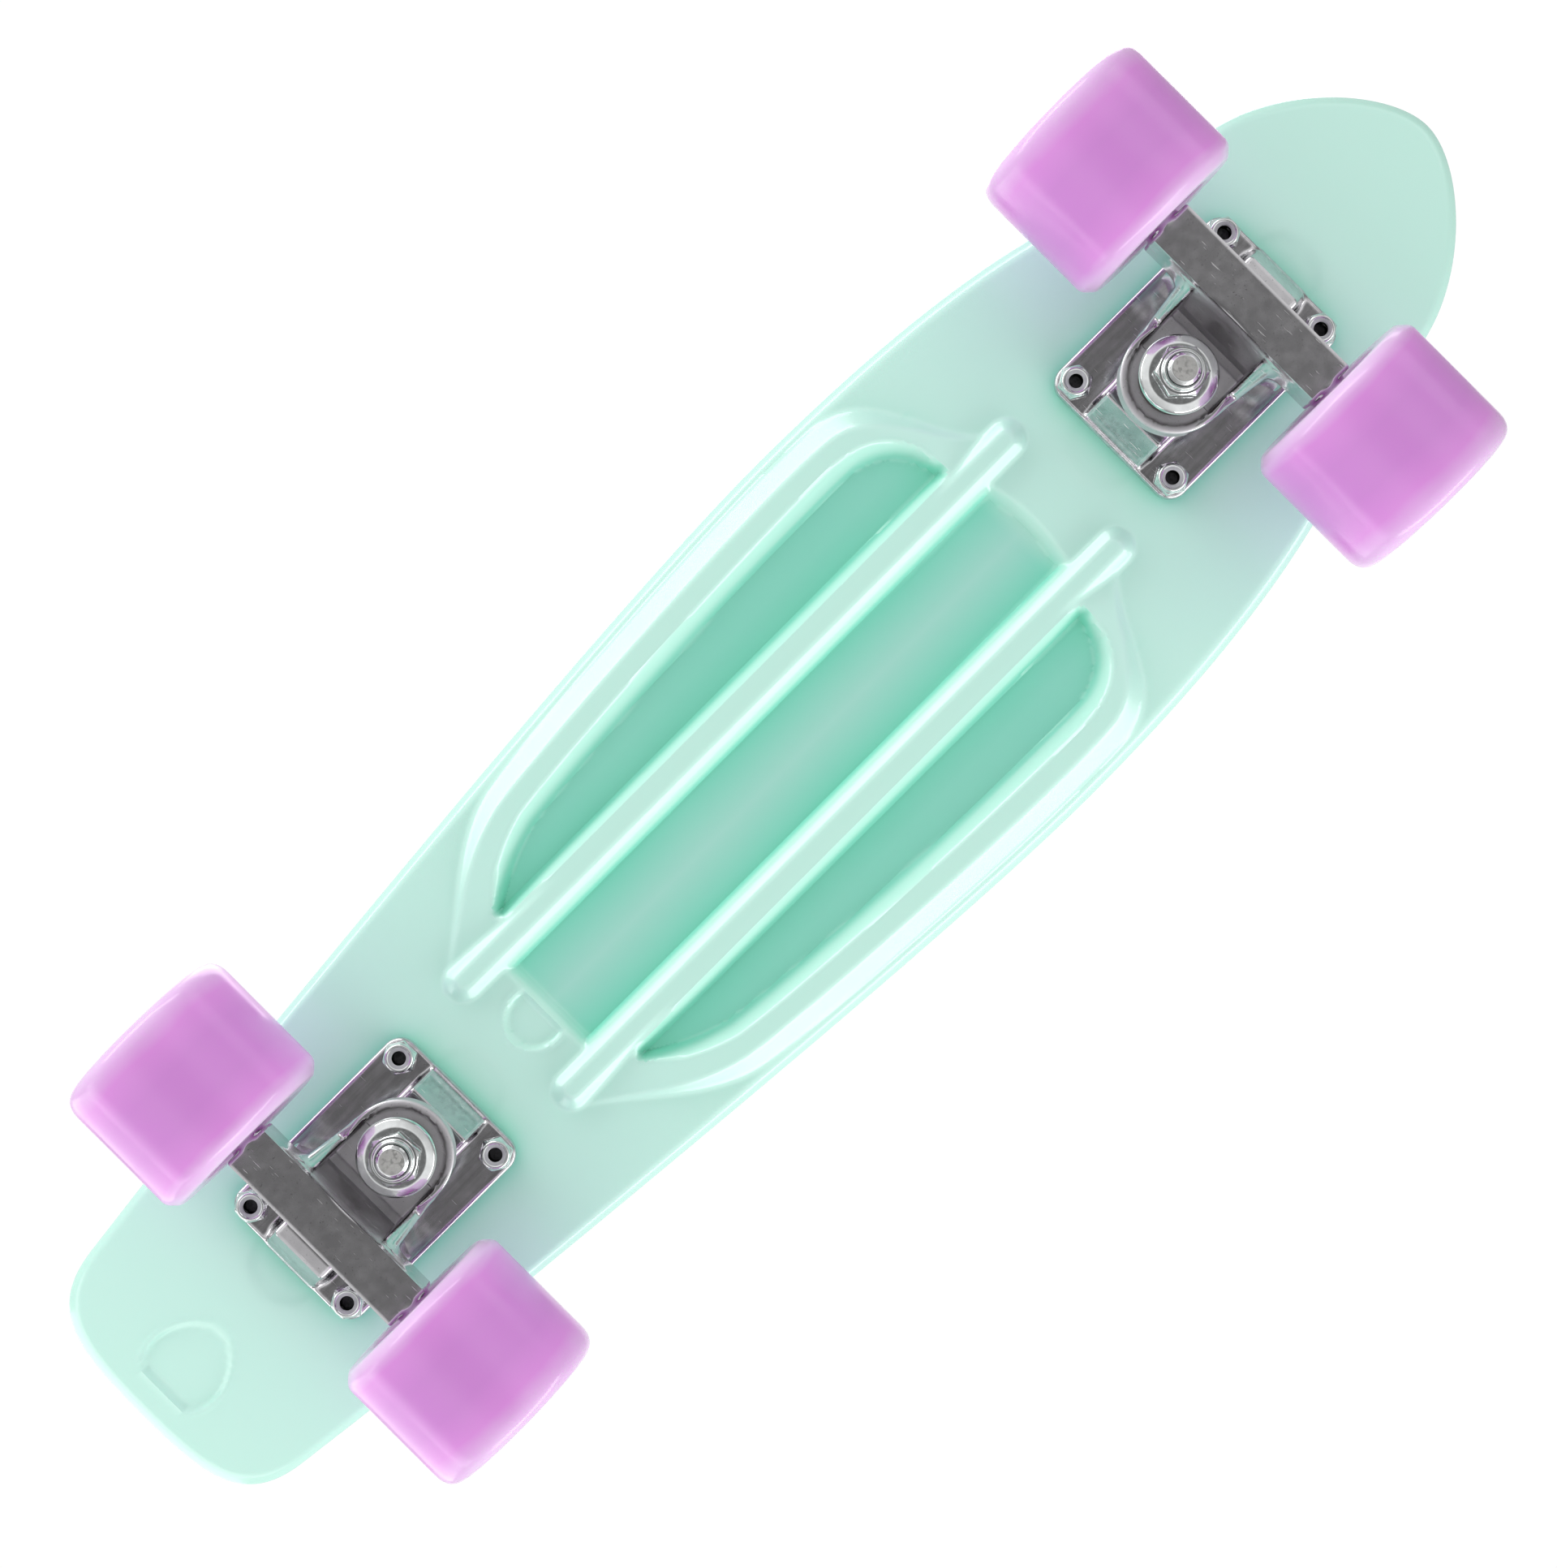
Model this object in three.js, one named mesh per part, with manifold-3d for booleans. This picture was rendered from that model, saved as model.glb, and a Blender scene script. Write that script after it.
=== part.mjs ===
// A moulded mini cruiser skateboard: plastic deck, two cast trucks, four wheels.
// Units are millimetres. +X points to the nose, +Y to the left side, +Z up, and the ground is Z = 0.
import * as THREE from 'three';
import { mergeVertices } from 'three/addons/utils/BufferGeometryUtils.js';
import Module from 'manifold-3d';

const wasm = await Module();
wasm.setup();

// ---- Driving dimensions -------------------------------------------------------------------------

const GAP = 0.3; // air left between pieces that touch
const CUT = 1; // how far a cutting solid reaches past the face it opens

const wheelRadius = 30;
const wheelWidth = 45.5;
const wheelInnerFace = 34; // distance of the wheel's inner face from the centre line

const axleHeight = wheelRadius;
const axleRadius = 4;
const axleHalfLength = 77.2;
const trackAxleX = 188; // axle distance from the middle of the board

const deckHalfLength = 285;
const deckHalfWidth = 72.4;
const deckUnderside = 78;
const deckThickness = 8;
const deckTop = deckUnderside + deckThickness;
const deckEdgeRadius = 2.5;
const kickStart = 216; // where nose and tail begin to rise
const kickBend = 24; // length of the bend before the rise is straight
const tailSlope = 0.36;
const noseSlope = 0.34;
const concaveStart = 30;
const concaveRise = 2.5;

const ribDepth = 4;
const ribFace = deckUnderside - ribDepth;
const ribFlareHeight = 5;
const ribMiddleY = 23.2; // middle of each straight rib
const ribMiddleHalf = 8; // half its width at the foot
const ribTailEnd = -123;
const ribNoseEnd = 126;
const ribFlare = 5; // how far its sides slope out
const outerRibFlare = 6.5;
const pocketFloor = 81.5;
const pocketFlare = 5.5;

const boltSpacingX = 63.5;
const boltSpacingY = 41.3;
const boltPatternX = 176.75; // middle of each bolt pattern
const boltRadius = 2.4;
const boltHeadRadius = 4.9;
const boltHeadHeight = 2.5;
const boltHeadRim = 1; // from the riding surface down to the full width of the bolt's head
const boltEnd = 70; // inside the lock nut's collar

const plateLength = 75;
const plateWidth = 53.5;
const plateFlange = 5;
const plateTop = deckUnderside - GAP;
const plateFlangeFace = plateTop - plateFlange;
const plateRidgeHalf = 12;
const plateRidgeFace = 69.5;
const plateCorner = 6;

const kingpinOffset = -14.25; // kingpin from the pattern middle, towards the board's middle
const kingpinRadius = 4.76;
const kingpinTip = 25;
const kingpinFlats = 14.3; // across the flats of its head and of its nut
const kingpinHeadSeat = 71.6;
const kingpinHeadRecess = 8.7; // radius of the recess for its head
const bossRadius = 13.5;
const bossFace = 68;
const ringFaceUp = 54;
const ringFaceDown = 47.5;
const ringRadius = 16.5;
const ringLipHeight = 2;
const ringLipInner = 14;
const bushingFoot = 9.6; // radius of a bushing's end nearer the road
const upperBushingRadius = 10; // and of its upper end
const lowerBushingRadius = 11;
const washerRadius = 11.6;
const washerHeight = 1.7;
const roadWasherTop = 37.4;

const axleOffset = trackAxleX - boltPatternX;
const pivotOffset = 23.25;
const pivotHeight = 68;
const pivotBall = 5;
const pivotCupRadius = 7;
const pivotCupTop = 6; // along the steering axis, from the middle of the ball
const pivotCupMouth = -4;
const ringMiddle = (ringFaceUp + ringFaceDown) / 2;
const steerAngle = Math.atan2(pivotHeight - ringMiddle, pivotOffset - kingpinOffset);

const hangerShoulder = 33.5; // end of the square axle housing
const hangerEnd = 42.5; // end of its round nose, inside the wheel
const hangerNoseRadius = 6;
const housingHalf = 7.2; // half the width of the housing's road face
const housingRoadFace = axleHeight - hangerNoseRadius;
const armInnerY = 14.2; // inner faces of the two arms that carry the ring

const bearingRadius = 11;
const bearingBore = 6.2;
const bearingWidth = 7;
const bearingInnerFace = 44;
const spacerLength = 10;
const bearingFaces = [bearingInnerFace, bearingInnerFace + bearingWidth + spacerLength];
const bearingOuterEnd = bearingFaces[1] + bearingWidth;

const WHEEL_SIDES = 24;
const SMALL_SIDES = 10;
const ROUND_SIDES = 16;
const DECK_LENGTHWISE = 44; // faces along the deck, across it and through its thickness
const DECK_ACROSS = 6;
const DECK_LAYERS = 3;

// ---- Materials ----------------------------------------------------------------------------------

function surface(color, roughness, metalness) {
  return new THREE.MeshStandardMaterial({ color, roughness, metalness });
}

const materials = {
  mintPlastic: surface(0xb8e6da, 0.35, 0),
  pinkUrethane: surface(0xe08ce0, 0.3, 0),
  castMetal: surface(0x6f7072, 0.5, 1),
  zincSteel: surface(0xc4c6c8, 0.25, 1),
  darkUrethane: surface(0x2b2523, 0.6, 0),
  whiteNylon: surface(0xe6e6e2, 0.5, 0),
};

// ---- Solids -------------------------------------------------------------------------------------

function signedVolume(points, faces) {
  const a = new THREE.Vector3();
  const b = new THREE.Vector3();
  const c = new THREE.Vector3();
  let sum = 0;
  for (let i = 0; i < faces.length; i += 3) {
    a.fromArray(points, faces[i] * 3);
    b.fromArray(points, faces[i + 1] * 3);
    c.fromArray(points, faces[i + 2] * 3);
    sum += a.dot(b.cross(c));
  }
  return sum / 6;
}

// Turns a closed three.js geometry into a solid, dropping the empty triangles at a lathe's axis.
function toSolid(geometry) {
  geometry.deleteAttribute('normal');
  geometry.deleteAttribute('uv');
  const merged = mergeVertices(geometry, 1e-4);
  const vertProperties = Float32Array.from(merged.attributes.position.array);
  const index = merged.index.array;
  const kept = [];
  for (let i = 0; i < index.length; i += 3) {
    const [a, b, c] = [index[i], index[i + 1], index[i + 2]];
    if (a !== b && b !== c && c !== a) kept.push(a, b, c);
  }
  const triVerts = Uint32Array.from(kept);
  if (signedVolume(vertProperties, triVerts) < 0) triVerts.reverse();
  return new wasm.Manifold(new wasm.Mesh({ numProp: 3, vertProperties, triVerts }));
}

function toGeometry(solid) {
  const { vertProperties, triVerts } = solid.getMesh();
  const geometry = new THREE.BufferGeometry();
  geometry.setAttribute('position', new THREE.BufferAttribute(Float32Array.from(vertProperties), 3));
  geometry.setIndex(new THREE.BufferAttribute(Uint32Array.from(triVerts), 1));
  geometry.computeVertexNormals();
  return geometry;
}

function joined(first, ...others) {
  return others.reduce((sum, solid) => sum.add(solid), first);
}

function cutBy(first, ...tools) {
  return tools.reduce((rest, tool) => rest.subtract(tool), first);
}

// A ring or disc about the Z axis, from [radius, height] pairs.
function turned(profile, sides) {
  const points = profile.map(([radius, height]) => new THREE.Vector2(radius, height));
  return new THREE.LatheGeometry(points, sides).rotateX(Math.PI / 2);
}

function closedProfile(profile) {
  return [...profile, profile[0]];
}

function post(radius, bottom, top, x, y, sides = ROUND_SIDES) {
  const profile = [[0, bottom], [radius, bottom], [radius, top], [0, top]];
  return toSolid(turned(profile, sides).translate(x, y, 0));
}

function hexPrism(acrossFlats, bottom, top, x, y) {
  const cornerRadius = acrossFlats / Math.sqrt(3);
  const prism = new THREE.CylinderGeometry(cornerRadius, cornerRadius, top - bottom, 6);
  return toSolid(prism.rotateX(Math.PI / 2).translate(x, y, (top + bottom) / 2));
}

function roundedRectangle(halfX, halfY, radius) {
  const shape = new THREE.Shape();
  shape.absarc(halfX - radius, halfY - radius, radius, 0, Math.PI / 2);
  shape.absarc(radius - halfX, halfY - radius, radius, Math.PI / 2, Math.PI);
  shape.absarc(radius - halfX, radius - halfY, radius, Math.PI, Math.PI * 1.5);
  shape.absarc(halfX - radius, radius - halfY, radius, Math.PI * 1.5, Math.PI * 2);
  shape.closePath();
  return shape;
}

// A plan shape between two heights. Both end faces have the shape's own size, and over `flareHeight`
// from each of them the sides spread out by `flare`.
function slab(shape, bottom, top, flare, flareHeight, curveSegments = 4) {
  const geometry = new THREE.ExtrudeGeometry(shape, {
    depth: top - bottom - 2 * flareHeight,
    bevelEnabled: flare > 0,
    bevelSize: flare,
    bevelThickness: flareHeight,
    bevelSegments: 1,
    curveSegments,
  });
  return geometry.translate(0, 0, bottom + flareHeight);
}

// A side profile of [x, z] pairs, made as wide as 2 * halfWidth across Y.
function sideProfile(corners, halfWidth) {
  const shape = new THREE.Shape(corners.map(([x, z]) => new THREE.Vector2(x, z)));
  const geometry = new THREE.ExtrudeGeometry(shape, { depth: 2 * halfWidth, bevelEnabled: false });
  return toSolid(geometry.rotateX(Math.PI / 2).translate(0, halfWidth, 0));
}

function mirroredY(geometry) {
  return geometry.clone().scale(1, -1, 1);
}

// Turns geometry made about the Z axis so that +Z lies on a truck's steering axis, at its pivot.
function onSteeringAxis(geometry) {
  return geometry.rotateY(Math.PI / 2 - steerAngle).translate(pivotOffset, 0, pivotHeight);
}

// ---- Deck ---------------------------------------------------------------------------------------

// The left half of the deck's outline, from the middle of the tail to the middle of the nose.
const halfOutline = new THREE.Path();
halfOutline.moveTo(-deckHalfLength, 0);
halfOutline.bezierCurveTo(-deckHalfLength, 30, -282, 44, -258, 46.5);
halfOutline.bezierCurveTo(-200, 52, -10, deckHalfWidth, 60, deckHalfWidth);
halfOutline.bezierCurveTo(105, deckHalfWidth, 140, 68.8, 166, 62.3);
halfOutline.lineTo(236, 45.1);
halfOutline.bezierCurveTo(262, 38.6, deckHalfLength, 15, deckHalfLength, 0);

const tailCorner = 0.063; // fractions of the half outline where its ends turn into its side
const noseCorner = 0.942;
const endFade = 4; // how fast the round ends fade out of the deck's grid

// A point of the deck in plan: u runs from tail to nose, v from the right edge to the left.
function deckPlan(u, v) {
  const side = halfOutline.getPointAt(THREE.MathUtils.lerp(tailCorner, noseCorner, u));
  const sideTail = halfOutline.getPointAt(tailCorner);
  const sideNose = halfOutline.getPointAt(noseCorner);
  const across = Math.abs(v);
  const tail = halfOutline.getPointAt(across * tailCorner);
  const nose = halfOutline.getPointAt(1 - across * (1 - noseCorner));
  const towardsTail = (1 - u) ** endFade;
  const towardsNose = u ** endFade;
  const x = side.x + towardsTail * (tail.x - sideTail.x) + towardsNose * (nose.x - sideNose.x);
  const tailY = towardsTail * (Math.sign(v) * tail.y - v * sideTail.y);
  const noseY = towardsNose * (Math.sign(v) * nose.y - v * sideNose.y);
  return [x, v * side.y + tailY + noseY];
}

// Height of the deck's riding surface: flat between the trucks, kicked up at both ends, edges raised.
function ridingSurface(x, y) {
  const slope = x < 0 ? tailSlope : noseSlope;
  const past = Math.max(0, Math.abs(x) - kickStart);
  const rise = past < kickBend ? (slope * past * past) / (2 * kickBend) : slope * (past - kickBend / 2);
  const side = Math.max(0, Math.abs(y) - concaveStart) / (deckHalfWidth - concaveStart);
  return deckTop + rise + concaveRise * side * side;
}

// A divided box, bent to the deck's plan and its riding surface. Its two middle layers stand proud
// of the outer two, which makes the rounded edge.
function deckPlate() {
  const geometry = new THREE.BoxGeometry(1, 2, DECK_LAYERS, DECK_LENGTHWISE, DECK_ACROSS, DECK_LAYERS);
  const points = geometry.attributes.position;
  for (let i = 0; i < points.count; i += 1) {
    const layer = Math.round(points.getZ(i) + DECK_LAYERS / 2);
    const isOuter = layer === 0 || layer === DECK_LAYERS;
    const inset = isOuter ? deckEdgeRadius : 0;
    const [x, y] = deckPlan(points.getX(i) + 0.5, points.getY(i));
    const insetX = x * (1 - inset / deckHalfLength);
    const insetY = y * (1 - inset / deckHalfWidth);
    const below = [deckThickness, deckThickness - deckEdgeRadius, deckEdgeRadius, 0][layer];
    points.setXYZ(i, insetX, insetY, ridingSurface(insetX, insetY) - below);
  }
  return toSolid(geometry);
}

// The crest of one of the two straight ribs along the middle, with round ends.
function straightRibShape() {
  const shape = new THREE.Shape();
  const crestHalf = ribMiddleHalf - ribFlare;
  shape.absarc(ribNoseEnd - ribMiddleHalf, ribMiddleY, crestHalf, -Math.PI / 2, Math.PI / 2);
  shape.absarc(ribTailEnd + ribMiddleHalf, ribMiddleY, crestHalf, Math.PI / 2, Math.PI * 1.5);
  shape.closePath();
  return shape;
}

// The crest of the raised field outside a straight rib, which carries the curved outer rib.
function outerRibShape() {
  const shape = new THREE.Shape();
  shape.moveTo(-106, ribMiddleY);
  shape.lineTo(-106, 30);
  shape.bezierCurveTo(-94, 38, -84, 52.5, -66, 53.8);
  shape.bezierCurveTo(-40, 57, 40, 64, 72, 61.3);
  shape.bezierCurveTo(94, 60, 92, 44, 107, 29);
  shape.lineTo(107, ribMiddleY);
  shape.closePath();
  return shape;
}

// The floor of the pocket between a straight rib and the outer rib.
function sidePocketShape() {
  const shape = new THREE.Shape();
  shape.moveTo(-97, 30.5);
  shape.lineTo(98, 30.5);
  shape.bezierCurveTo(94, 38, 93, 49.7, 72, 49.8);
  shape.bezierCurveTo(30, 49.9, -40, 46, -66, 42.4);
  shape.quadraticCurveTo(-86, 39, -97, 30.5);
  return shape;
}

// The floor of the pocket between the two straight ribs.
function centrePocketShape() {
  const shape = new THREE.Shape();
  shape.moveTo(-100, -15.5);
  shape.lineTo(101, -15.5);
  shape.quadraticCurveTo(107, 0, 101, 15.5);
  shape.lineTo(-100, 15.5);
  shape.closePath();
  return shape;
}

function deck() {
  const ribTop = ribFace + 2 * ribFlareHeight + 0.5;
  const pocketDepth = pocketFloor - ribFace;
  const pocketOpening = ribFace - 2 * pocketDepth;
  const raised = [];
  const cuts = [];
  for (const flip of [(geometry) => geometry, mirroredY]) {
    const straight = slab(straightRibShape(), ribFace, ribTop, ribFlare, ribFlareHeight, 3);
    const outer = slab(outerRibShape(), ribFace, ribTop, outerRibFlare, ribFlareHeight, 6);
    const pocket = slab(sidePocketShape(), pocketOpening, pocketFloor, pocketFlare, pocketDepth, 6);
    raised.push(toSolid(flip(straight)), toSolid(flip(outer)));
    cuts.push(toSolid(flip(pocket)));
  }
  const centre = slab(centrePocketShape(), pocketOpening, pocketFloor, ribFlare, pocketDepth, 5);
  cuts.push(toSolid(centre));
  const holeRadius = boltRadius + GAP;
  const headRadius = boltHeadRadius + GAP;
  const clearance = 0.1; // between the sloping faces of the bolt's head and its seat
  const bore = [
    [0, deckUnderside - CUT],
    [holeRadius, deckUnderside - CUT],
    [holeRadius, deckTop - boltHeadRim - boltHeadHeight + clearance],
    [headRadius, deckTop - boltHeadRim + clearance],
    [headRadius, deckTop + CUT],
    [0, deckTop + CUT],
  ];
  for (const [x, y] of boltPlaces(-1).concat(boltPlaces(1))) {
    cuts.push(toSolid(turned(bore, SMALL_SIDES).translate(x, y, 0)));
  }
  return cutBy(joined(deckPlate(), ...raised), ...cuts);
}

// The four bolt centres of the front (+1) or rear (-1) pattern.
function boltPlaces(end) {
  const places = [];
  for (const x of [-boltSpacingX / 2, boltSpacingX / 2]) {
    for (const y of [-boltSpacingY / 2, boltSpacingY / 2]) {
      places.push([end * boltPatternX + x, y]);
    }
  }
  return places;
}

// ---- Fasteners ----------------------------------------------------------------------------------

function deckBolt() {
  const chamfer = 0.5;
  const headTop = deckTop - 0.3;
  const socketFlats = 3.2;
  const socketDepth = 2;
  const profile = [
    [0, boltEnd],
    [boltRadius - chamfer, boltEnd],
    [boltRadius, boltEnd + chamfer],
    [boltRadius, deckTop - boltHeadRim - boltHeadHeight],
    [boltHeadRadius, deckTop - boltHeadRim],
    [boltHeadRadius, headTop],
    [0, headTop],
  ];
  const socket = hexPrism(socketFlats, headTop - socketDepth, deckTop + CUT, 0, 0);
  return toSolid(turned(profile, SMALL_SIDES)).subtract(socket);
}

// A self-locking nut, hexagon up, round nylon collar down.
function lockNut({ acrossFlats, top, hexHeight, collarHeight, collarRadius, boreRadius }) {
  const hexEnd = top - hexHeight;
  const collarEnd = hexEnd - collarHeight;
  const collar = post(collarRadius, collarEnd, hexEnd + CUT, 0, 0, SMALL_SIDES);
  const bore = post(boreRadius, collarEnd - CUT, top + CUT, 0, 0, SMALL_SIDES);
  return joined(hexPrism(acrossFlats, hexEnd, top, 0, 0), collar).subtract(bore);
}

// ---- Truck: every function below works in the truck's own frame, +X away from the board's middle.

function baseplate() {
  const edge = 1; // bevel of the flange's edges
  const flangeShape = roundedRectangle(plateLength / 2 - edge, plateWidth / 2 - edge, plateCorner);
  const flange = slab(flangeShape, plateFlangeFace, plateTop, edge, edge);
  const ridgeFlare = 2;
  const ridgeShape = roundedRectangle(plateLength / 2 - 3, plateRidgeHalf - ridgeFlare, ridgeFlare);
  const ridge = slab(ridgeShape, plateRidgeFace, plateTop - edge, ridgeFlare, ridgeFlare);
  // Side views of the ramp at the plate's inner end and of the housing round the pivot cup.
  const rampProfile = [
    [-37.2, 76],
    [-37.2, 73.2],
    [-29.5, 63.5],
    [-27.5, 63.5],
    [-27, 68],
    [-20, 70],
    [-20, 76],
  ];
  const boss = post(bossRadius, bossFace, plateTop - edge, kingpinOffset, 0);
  const pivotHousing = [[13, 74], [15, 66], [19, 59.5], [27, 58.8], [33, 63], [36.8, 73.2], [36.8, 74]];
  const ramp = sideProfile(rampProfile, plateRidgeHalf - 0.5);
  const housing = sideProfile(pivotHousing, plateRidgeHalf - 1.5);
  const body = joined(toSolid(flange), toSolid(ridge), boss, ramp, housing);
  const socketRadius = pivotCupRadius + GAP;
  const socketDepth = pivotCupTop + GAP;
  const socketProfile = [[0, -18], [socketRadius, -18], [socketRadius, socketDepth], [0, socketDepth]];
  const socket = toSolid(onSteeringAxis(turned(socketProfile, ROUND_SIDES)));
  const cuts = [
    socket,
    post(kingpinRadius + GAP, bossFace - CUT, plateTop + CUT, kingpinOffset, 0),
    post(kingpinHeadRecess, kingpinHeadSeat, plateTop + CUT, kingpinOffset, 0),
  ];
  for (const [x, y] of boltPlaces(0)) {
    cuts.push(post(boltRadius + GAP, plateFlangeFace - CUT, plateTop + CUT, x, y, SMALL_SIDES));
  }
  return cutBy(body, ...cuts);
}

// The moulded cup that the hanger's ball end turns in.
function pivotCup() {
  const inner = pivotBall + GAP;
  const profile = [
    [0, pivotCupTop],
    [pivotCupRadius, pivotCupTop],
    [pivotCupRadius, pivotCupMouth],
    [inner, pivotCupMouth],
  ];
  for (let step = 0; step <= 3; step += 1) {
    const angle = (step / 3) * (Math.PI / 2);
    profile.push([inner * Math.cos(angle), inner * Math.sin(angle)]);
  }
  return toSolid(onSteeringAxis(turned(profile, ROUND_SIDES)));
}

function kingpin() {
  const chamfer = 0.8;
  const shaftTop = 73; // inside the head
  const profile = [
    [0, kingpinTip],
    [kingpinRadius - chamfer, kingpinTip],
    [kingpinRadius, kingpinTip + chamfer],
    [kingpinRadius, shaftTop],
    [0, shaftTop],
  ];
  const shaft = toSolid(turned(profile, ROUND_SIDES).translate(kingpinOffset, 0, 0));
  const head = hexPrism(kingpinFlats, kingpinHeadSeat + GAP, plateTop - GAP, kingpinOffset, 0);
  return joined(shaft, head);
}

function bushing(bottom, top, bottomRadius, topRadius) {
  const bore = kingpinRadius + GAP;
  const profile = closedProfile([
    [bore, bottom],
    [bottomRadius, bottom],
    [topRadius, top],
    [bore, top],
  ]);
  return toSolid(turned(profile, ROUND_SIDES).translate(kingpinOffset, 0, 0));
}

// A dished washer; its rim turns towards the bushing: up when `rimUp` is 1, down when it is -1.
function cupWasher(seat, rimUp) {
  const bore = kingpinRadius + GAP;
  const rim = 0.8; // its width, and how far it stands over the washer's face
  const face = seat + rimUp * washerHeight;
  const profile = closedProfile([
    [bore, seat],
    [washerRadius - 1, seat],
    [washerRadius, seat + rimUp * rim],
    [washerRadius, face + rimUp * rim],
    [washerRadius - rim, face + rimUp * rim],
    [washerRadius - 1.4, face],
    [bore, face],
  ]);
  return toSolid(turned(profile, ROUND_SIDES).translate(kingpinOffset, 0, 0));
}

// The two arms and the web between them, where the side view and the plan of the yoke meet.
function hangerYoke() {
  const side = sideProfile([
    [-13, ringFaceUp],
    [-2, ringFaceUp],
    [9, 59.5],
    [15, 50],
    [19, 40],
    [19, 34],
    [5, 28],
    [-6, 46],
    [-13, ringFaceDown],
  ], 30);
  const plan = new THREE.Shape();
  plan.moveTo(-13.5, -16.3);
  plan.lineTo(3, -18.8);
  plan.quadraticCurveTo(5, -19.5, 6, -24);
  plan.lineTo(20, -24);
  plan.lineTo(20, 24);
  plan.lineTo(6, 24);
  plan.quadraticCurveTo(5, 19.5, 3, 18.8);
  plan.lineTo(-13.5, 16.3);
  plan.closePath();
  return side.intersect(toSolid(slab(plan, 20, 64, 0, 0)));
}

// The hollow between the arms: a seat for the bushing, a deeper trench, and a back wall that leans out
// to the road face and bulges into it.
function hangerHollow() {
  const plan = new THREE.Shape();
  plan.moveTo(-10, -armInnerY);
  plan.lineTo(3.9, -armInnerY);
  plan.quadraticCurveTo(6.3, 0, 3.9, armInnerY);
  plan.lineTo(-10, armInnerY);
  plan.closePath();
  const seat = ringFaceDown + 1.5;
  const trench = ringFaceUp - 1;
  const side = sideProfile([
    [-11, 19],
    [8, 19],
    [8, 24],
    [2.3, 45],
    [2.3, trench],
    [-1, trench],
    [-1, seat],
    [-11, seat],
  ], armInnerY + CUT);
  return side.intersect(toSolid(slab(plan, 20, trench + CUT, 0, 0)));
}

function hanger() {
  const ring = post(ringRadius, ringFaceDown - ringLipHeight, ringFaceUp, kingpinOffset, 0, WHEEL_SIDES);
  const lipCut = post(ringLipInner, ringFaceDown - 2 * ringLipHeight, ringFaceDown, kingpinOffset, 0);
  const edge = 0.8; // bevel of the axle housing's long edges
  const housing = sideProfile([
    [axleOffset - housingHalf, housingRoadFace + edge],
    [axleOffset - housingHalf + edge, housingRoadFace],
    [axleOffset + housingHalf - edge, housingRoadFace],
    [axleOffset + housingHalf, housingRoadFace + edge],
    [axleOffset + housingHalf + edge, 38],
    [axleOffset + 6, 40.5],
    [axleOffset - 6, 40.5],
    [axleOffset - housingHalf, 38],
  ], hangerShoulder);
  const noses = toSolid(
    new THREE.CylinderGeometry(hangerNoseRadius, hangerNoseRadius, 2 * hangerEnd, ROUND_SIDES)
      .translate(axleOffset, 0, axleHeight));
  const gusset = sideProfile([[0, 54], [9, 60.5], [13.5, 59], [18, 44], [6, 40]], 6);
  const stemProfile = [[0, -24], [6.5, -24], [6.5, -14], [4.6, -5], [4.6, 0], [0, 0]];
  const stem = toSolid(onSteeringAxis(turned(stemProfile, ROUND_SIDES)));
  const ball = toSolid(onSteeringAxis(new THREE.SphereGeometry(pivotBall, 12, 8)));
  const cuts = [
    lipCut,
    hangerHollow(),
    post(kingpinRadius + 1.7, ringFaceDown - CUT, ringFaceUp + CUT, kingpinOffset, 0),
    toSolid(new THREE.CylinderGeometry(axleRadius + GAP, axleRadius + GAP, 3 * hangerEnd, SMALL_SIDES)
      .translate(axleOffset, 0, axleHeight)),
  ];
  return cutBy(joined(ring, hangerYoke(), housing, noses, gusset, stem, ball), ...cuts);
}

function axle() {
  const chamfer = 0.7;
  const profile = [
    [0, -axleHalfLength],
    [axleRadius - chamfer, -axleHalfLength],
    [axleRadius, chamfer - axleHalfLength],
    [axleRadius, axleHalfLength - chamfer],
    [axleRadius - chamfer, axleHalfLength],
    [0, axleHalfLength],
  ];
  const rod = new THREE.LatheGeometry(profile.map((pair) => new THREE.Vector2(...pair)), SMALL_SIDES);
  return toSolid(rod.translate(axleOffset, 0, axleHeight));
}

// ---- Wheels: made about the Y axis, on the side where Y is positive, then placed on the axle.

function aboutAxle(profile, sides) {
  const points = closedProfile(profile).map(([radius, y]) => new THREE.Vector2(radius, y));
  return new THREE.LatheGeometry(points, sides);
}

function wheel() {
  const inner = wheelInnerFace;
  const outer = wheelInnerFace + wheelWidth;
  const seat = bearingRadius + GAP;
  const shoulder = 9.8; // radius of the core between the two bearings
  return aboutAxle([
    [17, inner],
    [26.5, inner],
    [wheelRadius, inner + 3.5],
    [wheelRadius, outer - 12],
    [29, outer - 6],
    [25.5, outer - 1.5],
    [21, outer],
    [15, outer - 6],
    [seat, bearingOuterEnd],
    [seat, bearingFaces[1] - GAP],
    [shoulder, bearingFaces[1] - GAP],
    [shoulder, bearingInnerFace + bearingWidth + GAP],
    [seat, bearingInnerFace + bearingWidth + GAP],
    [seat, bearingInnerFace],
    [14, inner + 5],
  ], WHEEL_SIDES);
}

function bearing(face) {
  const end = face + bearingWidth;
  return aboutAxle([[bearingBore, face], [bearingRadius, face], [bearingRadius, end], [bearingBore, end]],
    ROUND_SIDES);
}

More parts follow.
